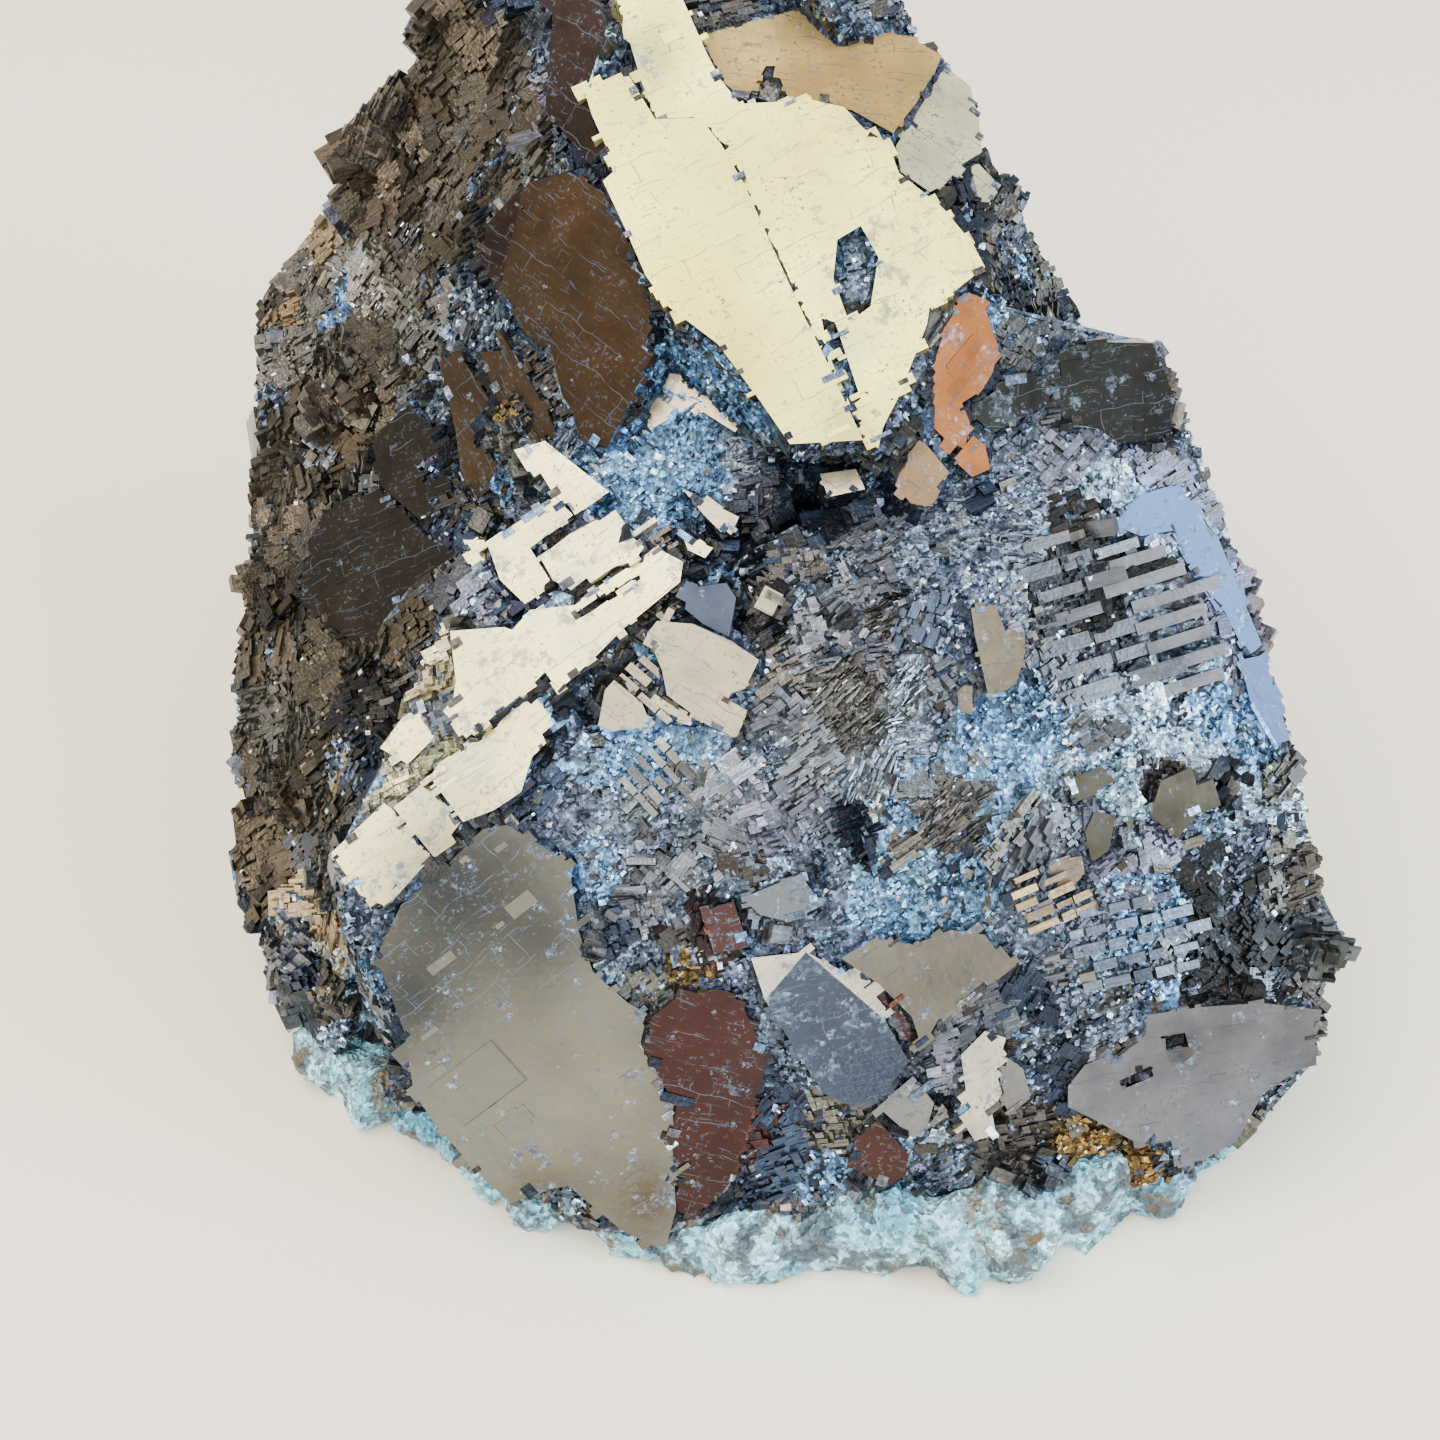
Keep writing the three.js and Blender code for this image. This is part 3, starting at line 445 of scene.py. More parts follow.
class Nodes:
    """Short forms for building a node material."""

    def __init__(self, name):
        self.material = bpy.data.materials.new(name)
        self.material.use_nodes = True
        self.tree = self.material.node_tree
        self.shader = self.tree.nodes["Principled BSDF"]

    def add(self, kind, links=None, **values):
        node = self.tree.nodes.new(kind)
        for key, value in values.items():
            if key in node.inputs:
                node.inputs[key].default_value = value
            else:
                setattr(node, key, value)
        for key, source in (links or {}).items():
            self.tree.links.new(source, node.inputs[key])
        return node

    def place(self):
        return self.add("ShaderNodeTexCoord").outputs["Object"]

    def noise(self, place, scale, detail=3, roughness=0.6):
        values = {"Scale": scale, "Detail": detail, "Roughness": roughness}
        return self.add("ShaderNodeTexNoise", {"Vector": place}, **values).outputs["Fac"]

    def stretch(self, place, scale):
        return self.add("ShaderNodeMapping", {"Vector": place}, Scale=scale).outputs["Vector"]

    def warp(self, place, scale, amount):
        """Places pushed about by a noise."""
        push = self.add("ShaderNodeTexNoise", {"Vector": place}, Scale=scale, Detail=2)
        moved = self.add("ShaderNodeVectorMath", operation="MULTIPLY_ADD")
        self.tree.links.new(push.outputs["Color"], moved.inputs[0])
        moved.inputs[1].default_value = (amount, amount, amount)
        self.tree.links.new(place, moved.inputs[2])
        return moved.outputs["Vector"]

    def bricks(self, place, length, height, joint):
        """The joints of a wall of bricks, as straight broken cracks."""
        wall = {"Mortar Size": joint, "Mortar Smooth": 0.3, "Brick Width": length, "Row Height": height}
        return self.add("ShaderNodeTexBrick", {"Vector": place}, Scale=1.0, **wall).outputs["Fac"]

    def band(self, value, low, high, out_low=0.0, out_high=1.0):
        """A value that goes from out_low to out_high as the source goes from low to high."""
        node = self.add("ShaderNodeMapRange", {"Value": value})
        limits = {"From Min": low, "From Max": high, "To Min": out_low, "To Max": out_high}
        for key, limit in limits.items():
            node.inputs[key].default_value = limit
        return node.outputs["Result"]

    def set_inputs(self, sockets, values):
        for socket, value in zip(sockets, values):
            if isinstance(value, (int, float)):
                socket.default_value = value
            elif isinstance(value, tuple):
                socket.default_value = (*value, 1)
            else:
                self.tree.links.new(value, socket)

    def math(self, operation, a, b):
        node = self.add("ShaderNodeMath", operation=operation)
        self.set_inputs(node.inputs, (a, b))
        return node.outputs["Value"]

    def mix(self, factor, a, b, blend="MIX"):
        node = self.add("ShaderNodeMix", data_type="RGBA", blend_type=blend)
        self.set_inputs((node.inputs[0], node.inputs[6], node.inputs[7]), (factor, a, b))
        return node.outputs[2]

    def bump(self, height, distance, strength):
        node = self.add("ShaderNodeBump", {"Height": height}, Distance=distance, Strength=strength)
        return node.outputs["Normal"]

    def finish(self, **links):
        for key, source in links.items():
            self.tree.links.new(source, self.shader.inputs[key.replace("_", " ")])
        return self.material


BROKEN = (0.3, 0.35)  # the graininess at which a clean face turns into a broken one
GALENA_METALLIC = 0.7


def galena_material():
    """Galena. Clean faces have cleavage cracks, hairlines, pits and a thin film; broken ones are
    streaked along their crystals or carry painted glints cell by cell, and a wide painted sheen runs
    over the clean faces."""
    n = Nodes("galena")
    attribute = n.add("ShaderNodeAttribute", attribute_name="tint")
    tint, grain = attribute.outputs["Color"], attribute.outputs["Alpha"]
    lattice = n.add("ShaderNodeAttribute", attribute_name="lattice").outputs["Vector"]
    place = n.place()
    sheen = n.noise(place, 75, 2, 0.5)
    film = n.noise(place, 300, 3, 0.65)
    patches = n.noise(place, 900, 3, 0.7)
    limit = n.math("SUBTRACT", 0.66, n.math("MULTIPLY", grain, 0.45))
    tarnish = n.math("SUBTRACT", n.noise(place, 460, 5, 0.78), limit)
    tarnish = n.math("MULTIPLY", n.band(tarnish, 0.0, 0.03), n.band(grain, *BROKEN, 0.8, 0.0))
    coarse = n.math("MULTIPLY", n.band(grain, *BROKEN), grain)
    rough = n.math("MAXIMUM", coarse, tarnish)
    clean = n.math("SUBTRACT", 1.0, rough)

    bent = n.warp(lattice, 0.35, 1.3)
    blocks = n.bricks(bent, 6.5, 2.3, 0.035)
    chips = n.bricks(bent, 2.1, 0.8, 0.03)
    cracks = n.math("MULTIPLY", blocks, n.band(n.noise(lattice, 0.3, 2, 0.5), 0.46, 0.54))
    fine_cracks = n.band(n.noise(lattice, 0.8, 2, 0.6), 0.55, 0.6, 0.0, 0.8)
    fine_cracks = n.math("MULTIPLY", chips, fine_cracks)
    hair = n.band(n.noise(n.stretch(bent, (0.16, 3.4, 1)), 1, 3, 0.7), 0.64, 0.70, 0.0, 0.5)
    pits = n.band(n.noise(place, 2600, 3, 0.65), 0.58, 0.64)
    pits = n.math("MULTIPLY", pits, n.band(film, 0.46, 0.62))
    worn = n.math("MAXIMUM", n.math("MAXIMUM", cracks, fine_cracks), n.math("MAXIMUM", hair, pits))
    worn = n.math("MULTIPLY", n.math("MULTIPLY", worn, clean), 0.95)

    cells = n.add("ShaderNodeTexVoronoi", {"Vector": place}, Scale=3300)
    lot = n.add("ShaderNodeSeparateColor", {"Color": cells.outputs["Color"]}).outputs["Red"]
    # Painted glints: each cell of the broken ground is painted from dark up to a bright white-blue
    # glint
    glint = n.mix(n.band(lot, 0.15, 0.6), (0.40, 0.41, 0.46), (1.0, 1.0, 1.0))
    glint = n.mix(n.band(lot, 0.72, 0.98), glint, (2.2, 2.4, 2.6))
    glint = n.mix(1.0, glint, n.band(patches, 0.35, 0.65, 0.6, 1.3), "MULTIPLY")
    streaks = n.noise(n.stretch(lattice, (0.5, 7.0, 1)), 1, 3, 0.75)
    streaks = n.mix(n.band(streaks, 0.36, 0.66), (0.48, 0.50, 0.56), (1.5, 1.5, 1.5))
    broken = n.mix(n.band(rough, 0.55, 0.9), streaks, glint)
    # The film's own tone, times a wide painted sheen over the clean faces
    shade = n.mix(n.band(film, 0.3, 0.7), (0.82, 0.84, 0.90), (1.12, 1.09, 1.02))
    painted_sheen = n.mix(n.band(sheen, 0.35, 0.65), (0.80, 0.78, 0.74), (1.10, 1.11, 1.14))
    shade = n.mix(1.0, shade, painted_sheen, "MULTIPLY")
    colour = n.mix(1.0, tint, n.mix(n.band(rough, 0.0, 0.4), shade, broken), "MULTIPLY")
    dulled = n.mix(0.35, n.mix(1.0, glint, (0.12, 0.155, 0.205), "MULTIPLY"), tint)
    colour = n.mix(tarnish, colour, dulled)
    colour = n.mix(worn, colour, (0.068, 0.095, 0.13))

    grit = n.math("ADD", cells.outputs["Distance"], patches)
    height = n.math("MULTIPLY", grit, coarse)
    height = n.math("ADD", height, n.math("ADD", film, n.math("MULTIPLY", sheen, 2.0)))
    n.shader.inputs["Metallic"].default_value = GALENA_METALLIC
    roughness = n.math("ADD", n.band(film, 0.3, 0.7, 0.24, 0.36), n.math("MULTIPLY", rough, 0.12))
    bump = n.bump(height, 0.12 * MM, 0.6)
    return n.finish(Base_Color=colour, Roughness=roughness, Normal=bump)


def quartz_material():
    """Pale sugary quartz, greenish to white, stained brown and gold in spots."""
    n = Nodes("quartz_crust")
    place = n.place()
    wide = n.noise(place, 120, 4, 0.6)
    fine = n.noise(place, 1400, 4, 0.7)
    stain = n.noise(place, 330, 5, 0.7)
    cells = n.add("ShaderNodeTexVoronoi", {"Vector": place}, Scale=2200)
    lot = n.add("ShaderNodeSeparateColor", {"Color": cells.outputs["Color"]}).outputs["Red"]
    colour = n.mix(n.band(wide, 0.36, 0.60), (0.10, 0.34, 0.46), (0.38, 0.74, 0.86))
    colour = n.mix(1.0, colour, n.band(lot, 0.1, 1.0, 0.4, 1.75), "MULTIPLY")
    dark = n.band(n.noise(place, 230, 5, 0.65), 0.49, 0.56, 0.0, 0.9)
    colour = n.mix(dark, colour, (0.035, 0.045, 0.062))
    colour = n.mix(n.band(stain, 0.54, 0.61, 0.0, 0.85), colour, (0.12, 0.075, 0.028))
    colour = n.mix(n.band(fine, 0.58, 0.66, 0, 0.75), colour, (0.05, 0.065, 0.09))
    rough = n.band(fine, 0.3, 0.7, 0.35, 0.65)
    bump = n.bump(cells.outputs["Distance"], 0.4 * MM, 0.9)
    return n.finish(Base_Color=colour, Roughness=rough, Normal=bump)


def floor_material():
    n = Nodes("pale_floor")
    shade = n.noise(n.place(), 6, 3, 0.5)
    colour = n.mix(shade, (0.87, 0.80, 0.64), (0.90, 0.83, 0.68))
    n.shader.inputs["Roughness"].default_value = 0.75
    return n.finish(Base_Color=colour)


class Domains:
    """Crystal domains of the broken surface, each with its own place, axes, look and brightness."""

    def __init__(self, count, weights, lean):
        self.places, faces = solid.sample(count, weights)
        out = unit(solid.normals[faces] + RANDOM.normal(0, lean, (count, 3)))
        trace = trace_in_face(TOWARD, 30) + RANDOM.normal(0, 0.25, (count, 3))
        x = unit(trace - (trace * out).sum(1, keepdims=True) * out)
        self.axes = np.stack([x, np.cross(out, x), out], 1)
        self.looks = pick_looks(self.places)
        shade = np.exp(RANDOM.normal(0, 0.28, (count, 1))) * (1 + RANDOM.normal(0, 0.025, (count, 3)))
        self.colours = look_colours[self.looks] * shade
        self.tree = KDTree(count)
        for i, place in enumerate(self.places):
            self.tree.insert(Vector(place), i)
        self.tree.balance()

    def of(self, points):
        return np.array([self.tree.find(Vector(point))[1] for point in points])


# The cleavage plates: the CAD solid itself in smaller faces, with a colour and crystal axes for each
PLATE_FACE_EDGE = 1.6 * MM
BARE_GRAIN = 0.12  # the graininess of a bare hidden face
GROUND_GRAIN = 0.9  # and of the ground under the crystals
# The ground under the crystals is darkened as painted shade
PLATE_GROUND_SHADE = 0.8  # the ground's colour beside that of its crystals
# The skin between the crystals is darkened further as painted shade
SKIN_SHADE = 0.55


def fine_faces():
    """The CAD faces as triangles of corner places, plates cut small, with the face each came from."""
    corners = solid.points[solid.faces]
    origins = np.arange(len(corners))
    done, sources = [corners[~is_plate]], [origins[~is_plate]]
    corners, origins = corners[is_plate], origins[is_plate]
    while len(corners):
        edges = np.linalg.norm(corners - np.roll(corners, -1, axis=1), axis=2)
        small = edges.max(1) < PLATE_FACE_EDGE
        done.append(corners[small])
        sources.append(origins[small])
        corners, origins, edges = corners[~small], origins[~small], edges[~small]
        first = (edges.argmax(1)[:, None] + np.arange(3)) % 3
        a, b, c = np.take_along_axis(corners, first[:, :, None], axis=1).transpose(1, 0, 2)
        middle = (a + b) / 2
        corners = np.concatenate([np.stack([a, middle, c], 1), np.stack([middle, b, c], 1)])
        origins = np.concatenate([origins, origins])
    return np.concatenate(done), np.concatenate(sources)


def blotched(places):
    """What the colour at each place is multiplied by, as painted shade, painted reflection and stain,
    and how much more tarnished it is.
    """
    factor = np.ones((len(places), 3))
    dirt = np.zeros(len(places))
    for at, radius, stain, worn in BLOTCHES:
        distance = np.linalg.norm(places - solid.seen_at(*at), axis=1)
        share = np.exp(-((distance / (radius * PIXEL)) ** 2))
        factor *= 1 + share[:, None] * (np.array(stain) - 1)
        dirt += share * worn
    return factor, dirt


def plate_piece():
    corners, origins = fine_faces()
    points, faces = np.unique(np.round(corners.reshape(-1, 3), 8), axis=0, return_inverse=True)
    faces = faces.reshape(-1, 3)
    piece = new_object("galena_cleavage", points, faces, galena)
    colours = look_colours[pick_looks(solid.centres)][origins] * PLATE_GROUND_SHADE
    grain = np.where(is_plate, BARE_GRAIN, GROUND_GRAIN)[origins]
    lattice = points[faces] / MM
    for name, (at, slope, turn, colour, tarnish) in GRAINS.items():
        out = face_out(slope)
        trace = trace_in_face(out, turn)
        axes = np.stack([trace, np.cross(out, trace), out], 1)
        own = grain_names[origins] == name
        steps = grain_steps[origins[own]]
        colours[own] = [OWN_COLOURS.get((name, step), colour) for step in steps]
        colours[own] *= (1 + 0.06 * np.sin(steps * 2.4 + 1))[:, None]
        grain[own] = tarnish
        lattice[own] = (points[faces[own]] - seen(*at)) @ axes / MM
    plates = is_plate[origins]
    # Painted shade and painted reflection across the plates, with their stains
    stain, dirt = blotched(points[faces[plates]].mean(1))
    colours[plates] *= stain
    grain[plates] = np.maximum(grain[plates] + dirt, 0)
    paint(piece, colours, grain)
    lay(piece, lattice.reshape(-1, 3))
    return piece


def remeshed(name, source, voxel, material):
    """A copy of a solid as an even mesh of small faces."""
    block = new_object(name + "_base", source.points, source.faces, material)
    remesh = block.modifiers.new("remesh", "REMESH")
    remesh.mode = "VOXEL"
    remesh.voxel_size = voxel
    mesh = bpy.data.meshes.new_from_object(block.evaluated_get(bpy.context.evaluated_depsgraph_get()))
    bpy.data.objects.remove(block)
    piece = bpy.data.objects.new(name, mesh)
    bpy.context.scene.collection.objects.link(piece)
    mesh.polygons.foreach_set("use_smooth", np.zeros(len(mesh.polygons), bool))
    return piece


# The granular skin: the solid remeshed, sunk under the plates, terraced along each domain elsewhere
SKIN_VOXEL = 0.63 * MM
SKIN_SINK = 0.5 * MM
TERRACE = 0.4 * MM
SKIN_ROUGHNESS = 0.1 * MM
SKIN_ROUGHNESS_SCALE = 1100


def skin_piece():
    piece = remeshed("galena_skin", solid, SKIN_VOXEL, galena)
    mesh = piece.data
    points = np.array([v.co for v in mesh.vertices])
    nearest = [solid.tree.find_nearest(Vector(point)) for point in points]
    normals = np.array([found[1] for found in nearest])
    plate = is_plate[[found[2] for found in nearest]]
    domain = domains.of(points)
    out = domains.axes[domain, 2]
    height = ((points - domains.places[domain]) * out).sum(1)
    terraced = (np.round(height / TERRACE) * TERRACE - height)[:, None] * out
    bumps = np.array([noise.noise(Vector(point) * SKIN_ROUGHNESS_SCALE) for point in points])
    rough = bumps[:, None] * normals * SKIN_ROUGHNESS
    points += np.where(plate[:, None], -SKIN_SINK * normals, terraced + rough)
    points[:, 2] = np.maximum(points[:, 2], solid.points[:, 2].min())
    mesh.vertices.foreach_set("co", points.ravel())
    mesh.update()
    centres = np.empty(len(mesh.polygons) * 3)
    mesh.polygons.foreach_get("center", centres)
    centres = centres.reshape(-1, 3)
    # Painted shade: the skin, seen between the crystals, is darkened, and darker and bluer still in the
    # corners beside the plates
    colours = domains.colours[domains.of(centres)] * SKIN_SHADE * rim_shade.at(centres)
    paint(piece, colours, np.full(len(mesh.polygons), GROUND_GRAIN))
    return piece


# A box of unit size under its top face
BOX_CORNERS = np.array(
    [[x, y, z] for x in (-0.5, 0.5) for y in (-0.5, 0.5) for z in (-1, 0)], float
)
BOX_FACES = np.array(
    [[0, 1, 3, 2], [4, 6, 7, 5], [0, 4, 5, 1], [2, 3, 7, 6], [1, 5, 7, 3], [0, 2, 6, 4]]
)
TOP_FACE = 4
BOX_SKEW = 0.05
# The sides of the boxes are painted darker than the top as painted shade, and now and then lighter as a
# painted highlight
SIDE_SHADE = (-0.75, 0.6)  # the middle and spread of the log of the sides' brightness
SIDE_SHADE_LIMITS = (0.1, 1.8)
COLOUR_LIMITS = (0.01, 0.95)
TOP_CORNERS = BOX_CORNERS[BOX_CORNERS[:, 2] == 0]
TEST_CORNERS = np.concatenate([TOP_CORNERS, TOP_CORNERS - [0, 0, 0.5], [[0, 0, 0]]])


def boxes(name, tops, axes, sizes, colours, grain):
    """Many boxes as one mesh. A box's top is at tops, its axes are the rows x, y and out."""
    local = BOX_CORNERS[None] * sizes[:, None, :]
    skew = RANDOM.normal(0, BOX_SKEW, (len(tops), 1, 2)) * sizes[:, None, :2]
    local[:, :, :2] += skew * (local[:, :, 2:] / sizes[:, None, 2:])
    points = tops[:, None] + local @ axes
    faces = BOX_FACES[None] + 8 * np.arange(len(tops))[:, None, None]
    piece = new_object(name, points.reshape(-1, 3), faces.reshape(-1, 4), galena)
    # Painted shade and painted highlights on the sides; the top keeps its colour
    shade = np.exp(RANDOM.normal(*SIDE_SHADE, (len(tops), 6, 1)))
    shade = np.clip(shade, *SIDE_SHADE_LIMITS)
    shade[:, TOP_FACE] = 1.0
    face_colours = colours[:, None, :] * shade
    paint(piece, np.clip(face_colours, *COLOUR_LIMITS).reshape(-1, 3), np.repeat(grain, 6))
    own = (local / MM)[:, BOX_FACES] + RANDOM.random((len(tops), 1, 1, 3)) * 50
    lay(piece, own.reshape(-1, 3))
    return piece


def plate_edges():
    """The edges of each plate: both ends, the plate's face and whether broken ground is beside it."""
    sides = {}
    for face, corners in enumerate(solid.faces):
        for i in range(3):
            pair = tuple(sorted((corners[i], corners[(i + 1) % 3])))
            sides.setdefault(pair, []).append(face)
    edges = []
    for (a, b), pair in sides.items():
        for face, other in ((pair[0], pair[-1]), (pair[-1], pair[0])):
            if on_grain[face] and owners[face] != owners[other] and owners[face][0] != "flight":
                edges.append((solid.points[a], solid.points[b], face, not on_grain[other]))
    return edges


RIM_PITCH = 0.3 * MM


class RimShade:
    """Painted shade: how the colour darkens and turns blue in the corners where broken ground meets a
    plate.
    """

    def __init__(self, reach, colour):
        self.reach, self.colour = reach, np.array(colour)
        rims = []
        for start, end, _, _ in edges_of_plates:
            shares = np.arange(0, 1, RIM_PITCH / max(np.linalg.norm(end - start), RIM_PITCH))
            rims += list(start + (end - start) * shares[:, None])
        self.tree = KDTree(len(rims))
        for i, rim in enumerate(rims):
            self.tree.insert(Vector(rim), i)
        self.tree.balance()

    def at(self, points):
        distance = np.array([self.tree.find(Vector(point))[2] for point in points])
        share = np.exp(-((distance / self.reach) ** 2))[:, None]
        return 1 + share * (self.colour - 1)


def clear_of_plates(tops, axes, sizes):
    """Which boxes keep off the cleavage plates."""
    clear = np.ones(len(tops), bool)
    corners = tops[:, None] + (TEST_CORNERS[None] * sizes[:, None, :]) @ axes
    for i, box in enumerate(corners):
        for corner in box:
            found, normal, face, _ = solid.tree.find_nearest(Vector(corner))
            if is_plate[face] and (Vector(corner) - found).dot(normal) > -0.05 * MM:
                clear[i] = False
                break
    return clear


STRAY_SHARE = 0.16  # of the crystals that look unlike their domain
# Painted highlights: a share of the small crystals is painted in a bright glint colour
GLINT_SHARE = 0.11  # of the small crystals that catch the light
GLINT_SIZE = 0.5 * MM
GLINT = (0.70, 0.82, 0.93)
SIZE_LIMIT = 1.8  # the largest step away from the middle size, in spreads


def crystals(name, count, weights, scale, proud, grain_step):
    """A field of small crystals that follow the domain they are in."""
    points, _ = solid.sample(count, weights)
    domain = domains.of(points)
    looks = domains.looks[domain]
    strays = RANDOM.random(count) < STRAY_SHARE
    looks[strays] = pick_looks(points[strays])
    styles = [STYLES[style] for style in look_styles[looks]]
    spread = np.array([style["spread"] for style in styles])
    lean = np.array([style["lean"] for style in styles])
    turn = np.array([style["turn"] for style in styles])
    size = np.array([style["size"] for style in styles]) * scale * MM
    step = np.clip(RANDOM.normal(0, 1, (count, 2)), -SIZE_LIMIT, SIZE_LIMIT)
    size *= np.exp(step * spread[:, None])
    axes = domains.axes[domain]
    x, y, out = axes[:, 0], axes[:, 1], axes[:, 2]
    x = unit(x + y * (RANDOM.normal(0, 1, count) * turn)[:, None])
    out = unit(out + np.cross(x, out) * (RANDOM.normal(0, 1, count) * lean)[:, None])
    out = unit(out + x * (RANDOM.normal(0, 0.6, count) * lean)[:, None])
    x = unit(x - (x * out).sum(1, keepdims=True) * out)
    axes = np.stack([x, np.cross(out, x), out], 1)
    height = ((points - domains.places[domain]) * out).sum(1)
    level = (np.floor(height / grain_step + RANDOM.uniform(0.2, 1, count)) + 0.5) * grain_step - height
    lift = np.clip(level, *proud) + RANDOM.uniform(0, 0.02, count) * MM
    tops = points + out * lift[:, None]
    sizes = np.column_stack([size, np.maximum(lift, 0) + 0.5 * MM + 0.3 * size.max(1)])
    colours = np.where(strays[:, None], look_colours[looks], domains.colours[domain])
    contrast = np.array([style["contrast"] for style in styles])
    # Painted glints
    glints = (RANDOM.random(count) < GLINT_SHARE) & (size.max(1) < GLINT_SIZE)
    colours[glints] = GLINT
    # A random tone for each crystal, and painted shade in the corners beside the plates
    colours = colours * np.exp(RANDOM.normal(0, 1, count) * contrast)[:, None] * rim_shade.at(points)
    grain = np.clip([style["grain"] for style in styles] + RANDOM.normal(0, 0.12, count), 0.1, 1)
    clear = clear_of_plates(tops, axes, sizes)
    return boxes(name, tops[clear], axes[clear], sizes[clear], colours[clear], grain[clear])


EDGE_PITCH = 2.4 * MM
EDGE_OVER = 0.35  # share of the edge blocks that lie over the plate


def plate_colour(face):
    """The colour of the plate that a face is on."""
    grain_name, step = owners[face]
    return np.array(OWN_COLOURS.get((grain_name, step), GRAINS[grain_name][3]))


def cleavage_steps(name, count):
    """Thin broken layers lying on the plates, along the crystal axes of each."""
    points, faces = solid.sample(count, on_grain.astype(float))
    tops, axes, sizes, colours = [], [], [], []
    for point, face in zip(points, faces):
        grain_name = grain_names[face]
        _, slope, turn, *_ = GRAINS[grain_name]
        out = face_out(slope)
        x = trace_in_face(out, turn)
        y = np.cross(out, x)
        length = 1.6 * np.exp(RANDOM.normal(0, 0.6)) * MM
        width = length * RANDOM.uniform(0.15, 0.7)
        inside = True
        for corner in TOP_CORNERS[:, :2] * 1.1:
            above = point + x * length * corner[0] + y * width * corner[1] + out * 0.2 * MM
            index = solid.tree.ray_cast(Vector(above), Vector(-out), 0.3 * MM)[2]
            inside = inside and index is not None and bool(on_grain[index])
        if not inside:
            continue
        lift = RANDOM.uniform(0.02, 0.06) * MM
        tops.append(point + out * lift)
        axes.append(np.stack([x, y, out]))
        sizes.append((length, width, lift + 0.1 * MM))
        colours.append(plate_colour(face) * RANDOM.uniform(0.95, 1.03))
    grain = np.full(len(tops), 0.14)
    return boxes(name, np.array(tops), np.array(axes), np.array(sizes), np.array(colours), grain)


# Rows of cleavage bars with dark gaps: where on the best side (across, down), how many rows, their
# pitch and half-length in view pixels, the angle they run at, and their colour
BAR_ROWS = [
    ((1085, 612), 7, 26, 60, 17, (0.15, 0.155, 0.175)),
    ((1046, 895), 5, 13, 34, 22, (0.42, 0.31, 0.17)),
    ((1128, 940), 5, 18, 60, 12, (0.15, 0.18, 0.23)),
    ((655, 775), 5, 13, 26, -48, (0.17, 0.165, 0.155)),
    ((655, 690), 3, 14, 40, -42, (0.30, 0.26, 0.18)),
    ((1150, 1085), 3, 13, 26, 14, (0.03, 0.03, 0.035)),
    ((945, 985), 4, 16, 36, 38, (0.12, 0.11, 0.09)),
]


# In view pixels, but for the ends, which are a share of the half-length
SHORT_BARS = (14, 34)
LONG_BARS = (26, 70)
CLOSE_ROWS = 20
BAR_GAPS = [1, 2, 3, 10]
BAR_ENDS = (0.7, 1.0)


def bar_rows(name):
    """Broken bars in rows, each lying on whatever ground is under it."""
    tops, axes, sizes, colours = [], [], [], []
    for (across, down), rows, pitch, half, turn, colour in BAR_ROWS:
        run = np.array([np.cos(np.radians(turn)), -np.sin(np.radians(turn))])
        for row in range(rows):
            aside = (row - (rows - 1) / 2) * pitch
            start = np.array([across, down]) + np.array([-run[1], run[0]]) * aside
            along = -half * RANDOM.uniform(*BAR_ENDS)
            while along < half * RANDOM.uniform(*BAR_ENDS):
                length = RANDOM.uniform(*(SHORT_BARS if pitch < CLOSE_ROWS else LONG_BARS))
                point = solid.seen_at(*(start + run * (along + length / 2)))
                along += length + RANDOM.choice(BAR_GAPS)
                _, normal, face, _ = solid.tree.find_nearest(Vector(point))
                if is_plate[face]:
                    continue
                out = unit(np.array(normal) + TOWARD)
                x = trace_in_face(out, turn)
                tops.append(point + out * RANDOM.uniform(0.45, 0.6) * MM)
                axes.append(np.stack([x, np.cross(out, x), out]))
                sizes.append((length * PIXEL, pitch * RANDOM.uniform(0.4, 0.7) * PIXEL, 1.2 * MM))
                colours.append(np.array(colour) * np.exp(RANDOM.normal(-0.1, 0.3)))
    grain = np.full(len(tops), 0.33)
    return boxes(name, np.array(tops), np.array(axes), np.array(sizes), np.array(colours), grain)


def edge_crystals(name):
    """Small blocks along the plates' edges, in the axes of each plate: some carry its face on in
    steps, others are broken ground that lies over it."""
    tops, axes, sizes, colours, grain = [], [], [], [], []
    for start, end, face, beside_ground in edges_of_plates:
        _, slope, turn, _, tarnish = GRAINS[grain_names[face]]
        out = face_out(slope)
        x = trace_in_face(out, turn)
        length = np.linalg.norm(end - start)
        for _ in range(RANDOM.poisson(length / EDGE_PITCH)):
            point = start + (end - start) * RANDOM.random()
            across = np.exp(RANDOM.normal((0.1, -0.45), 0.5)) * MM
            inward = solid.centres[face] - point
            point = point + unit(inward) * min(0.35 * across.min(), np.linalg.norm(inward))
            over = beside_ground and RANDOM.random() < EDGE_OVER
            lift = RANDOM.uniform(0.02, 0.12) * MM if over else -RANDOM.uniform(0.004, 0.02) * MM
            if over:
                across *= 0.7
                look = pick_looks(point[None])[0]
                colours.append(look_colours[look] * np.exp(RANDOM.normal(0, 0.25)))
                grain.append(0.8)
            else:
                colours.append(plate_colour(face) * RANDOM.uniform(0.86, 1.02))
                grain.append(tarnish + 0.05)
            tops.append(point + out * lift)
            axes.append(np.stack([x, np.cross(out, x), out]))
            sizes.append((*across, 0.9 * MM))
    # The plates' painted shade, painted reflection and stains, carried onto the blocks
    colours = np.array(colours) * blotched(np.array(tops))[0]
    return boxes(name, np.array(tops), np.array(axes), np.array(sizes), colours, np.array(grain))


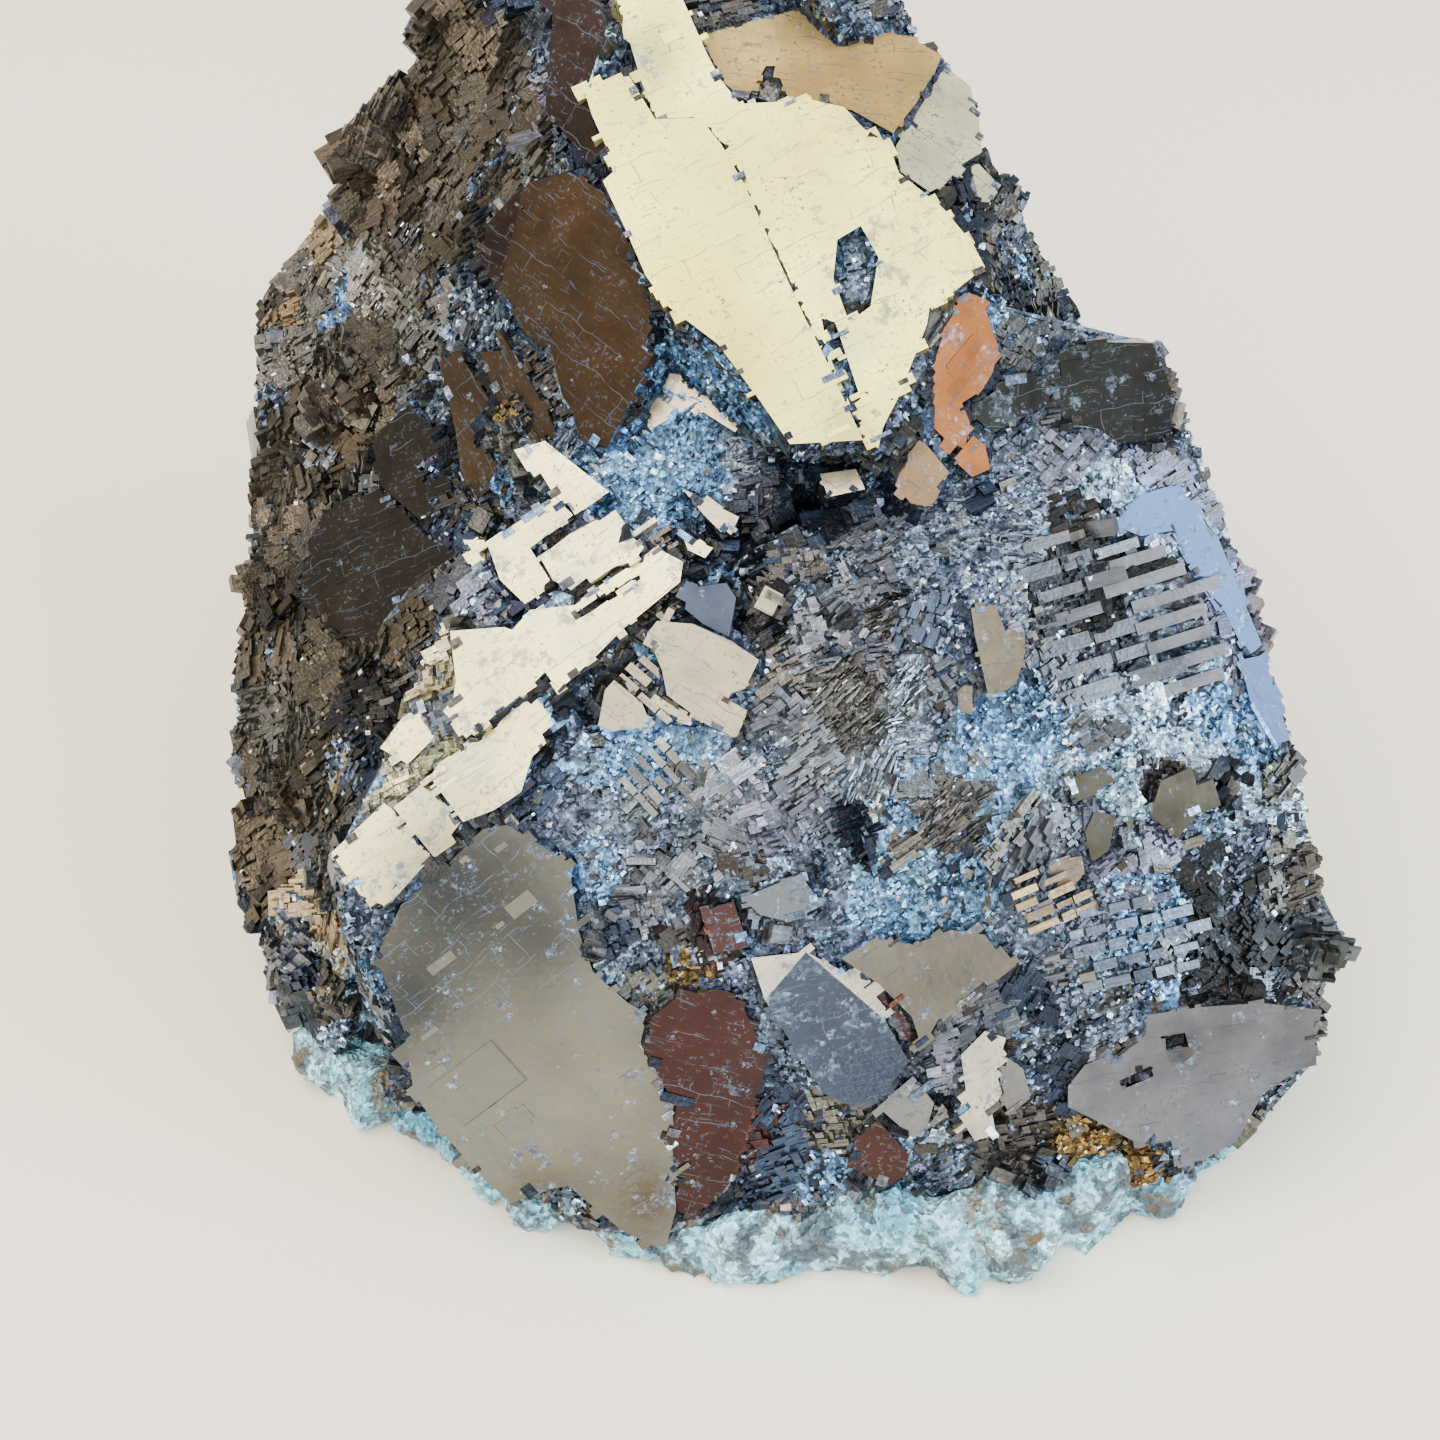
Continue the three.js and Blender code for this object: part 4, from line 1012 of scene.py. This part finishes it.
QUARTZ_VOXEL = 0.5 * MM
QUARTZ_LUMPS = 420  # how many noise lumps there are to the metre
FOOT_HEIGHT = 0.3 * MM


def quartz_piece():
    """The quartz crust, roughened all over above its flat foot."""
    piece = remeshed("quartz_crust", Solid("quartz_matrix"), QUARTZ_VOXEL, quartz_material())
    mesh = piece.data
    points = np.array([vertex.co for vertex in mesh.vertices])
    normals = np.array([vertex.normal for vertex in mesh.vertices])
    push = np.array([
        0.5 * noise.noise(spot) + 0.35 * noise.noise(spot * 2.7) + 0.25 * noise.noise(spot * 6)
        for spot in (Vector(point) * QUARTZ_LUMPS for point in points)
    ])
    push[points[:, 2] < FOOT_HEIGHT] = 0
    points += normals * push[:, None] * MM
    points[:, 2] = np.maximum(points[:, 2], 0)
    mesh.vertices.foreach_set("co", points.ravel())
    mesh.update()
    return piece


def camera():
    data = bpy.data.cameras.new("camera")
    data.sensor_fit = "HORIZONTAL"
    data.sensor_width = SENSOR_WIDTH
    data.lens = SENSOR_WIDTH * EYE_DISTANCE / FIELD_WIDTH
    data.clip_start = 0.005
    eye = bpy.data.objects.new("camera", data)
    eye.location = EYE
    eye.rotation_euler = Vector(-TOWARD).to_track_quat("-Z", "Y").to_euler()
    bpy.context.scene.collection.objects.link(eye)
    bpy.context.scene.camera = eye


def softbox(name, direction, distance, size, energy, colour):
    data = bpy.data.lights.new(name, "AREA")
    data.shape = "SQUARE"
    data.size = size
    data.energy = energy
    data.color = colour
    lamp = bpy.data.objects.new(name, data)
    way = Vector(direction).normalized()
    lamp.location = Vector(AIM) + way * distance
    lamp.rotation_euler = (-way).to_track_quat("-Z", "Y").to_euler()
    bpy.context.scene.collection.objects.link(lamp)


FLOOR_WIDTH = 3
WORLD_COLOUR = (1.0, 0.955, 0.88, 1)
WORLD_STRENGTH = 1.15


def studio():
    softbox("key", (-0.37, -0.2, 0.91), 0.9, 0.9, 16, (1.0, 0.96, 0.88))
    softbox("cool", (0.9, -0.35, 0.5), 0.9, 0.6, 12, (0.70, 0.85, 1.0))
    softbox("front", (-0.1, -1.0, 0.25), 1.0, 0.7, 6, (0.94, 0.97, 1.0))
    world = bpy.data.worlds.new("studio")
    world.use_nodes = True
    background = world.node_tree.nodes["Background"]
    background.inputs["Color"].default_value = WORLD_COLOUR
    background.inputs["Strength"].default_value = WORLD_STRENGTH
    bpy.context.scene.world = world
    half = FLOOR_WIDTH / 2
    corners = np.array([(-half, -half, 0), (half, -half, 0), (half, half, 0), (-half, half, 0)])
    floor = new_object("floor", corners, np.array([[0, 1, 2, 3]]), floor_material())


CRUST_TOP = 5 * MM
IN_VIEW = 0.1  # the least cosine between a face and the way to the eye
DOMAIN_COUNT = 1500
FRONT_DOMAINS = 2.2  # how much denser the domains are on the best side
FIELD_COUNT = 16500  # crystals in each field

camera()
studio()
galena = galena_material()
open_ground = ~is_plate & (solid.centres[:, 2] > CRUST_TOP)
front = (open_ground & (facing > IN_VIEW)).astype(float)
hidden = (open_ground & (facing <= IN_VIEW)).astype(float)
edges_of_plates = plate_edges()
# Painted shade along the plates' edges: how far it reaches, and the colour it multiplies by
rim_shade = RimShade(0.9 * MM, (0.22, 0.28, 0.40))
domain_weights = np.where(facing > IN_VIEW, FRONT_DOMAINS, 1.0) * ~is_plate
domains = Domains(DOMAIN_COUNT, domain_weights, 0.2)
pieces = [
    plate_piece(),
    skin_piece(),
    crystals("galena_front_crystals", FIELD_COUNT, front, 1.0, (0, 0.45 * MM), 0.36 * MM),
    crystals("galena_front_grit", FIELD_COUNT, front, 0.5, (0, 0.5 * MM), 0.36 * MM),
    crystals("galena_side_crystals", FIELD_COUNT, hidden, 1.3, (0, 0.5 * MM), 0.45 * MM),
    cleavage_steps("galena_steps", 110),
    edge_crystals("galena_edge_crystals"),
    bar_rows("galena_bars"),
]
for piece in pieces:
    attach(piece, "root")
    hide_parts("galena")
quartz = quartz_piece()
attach(quartz, "root")
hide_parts("quartz_matrix")
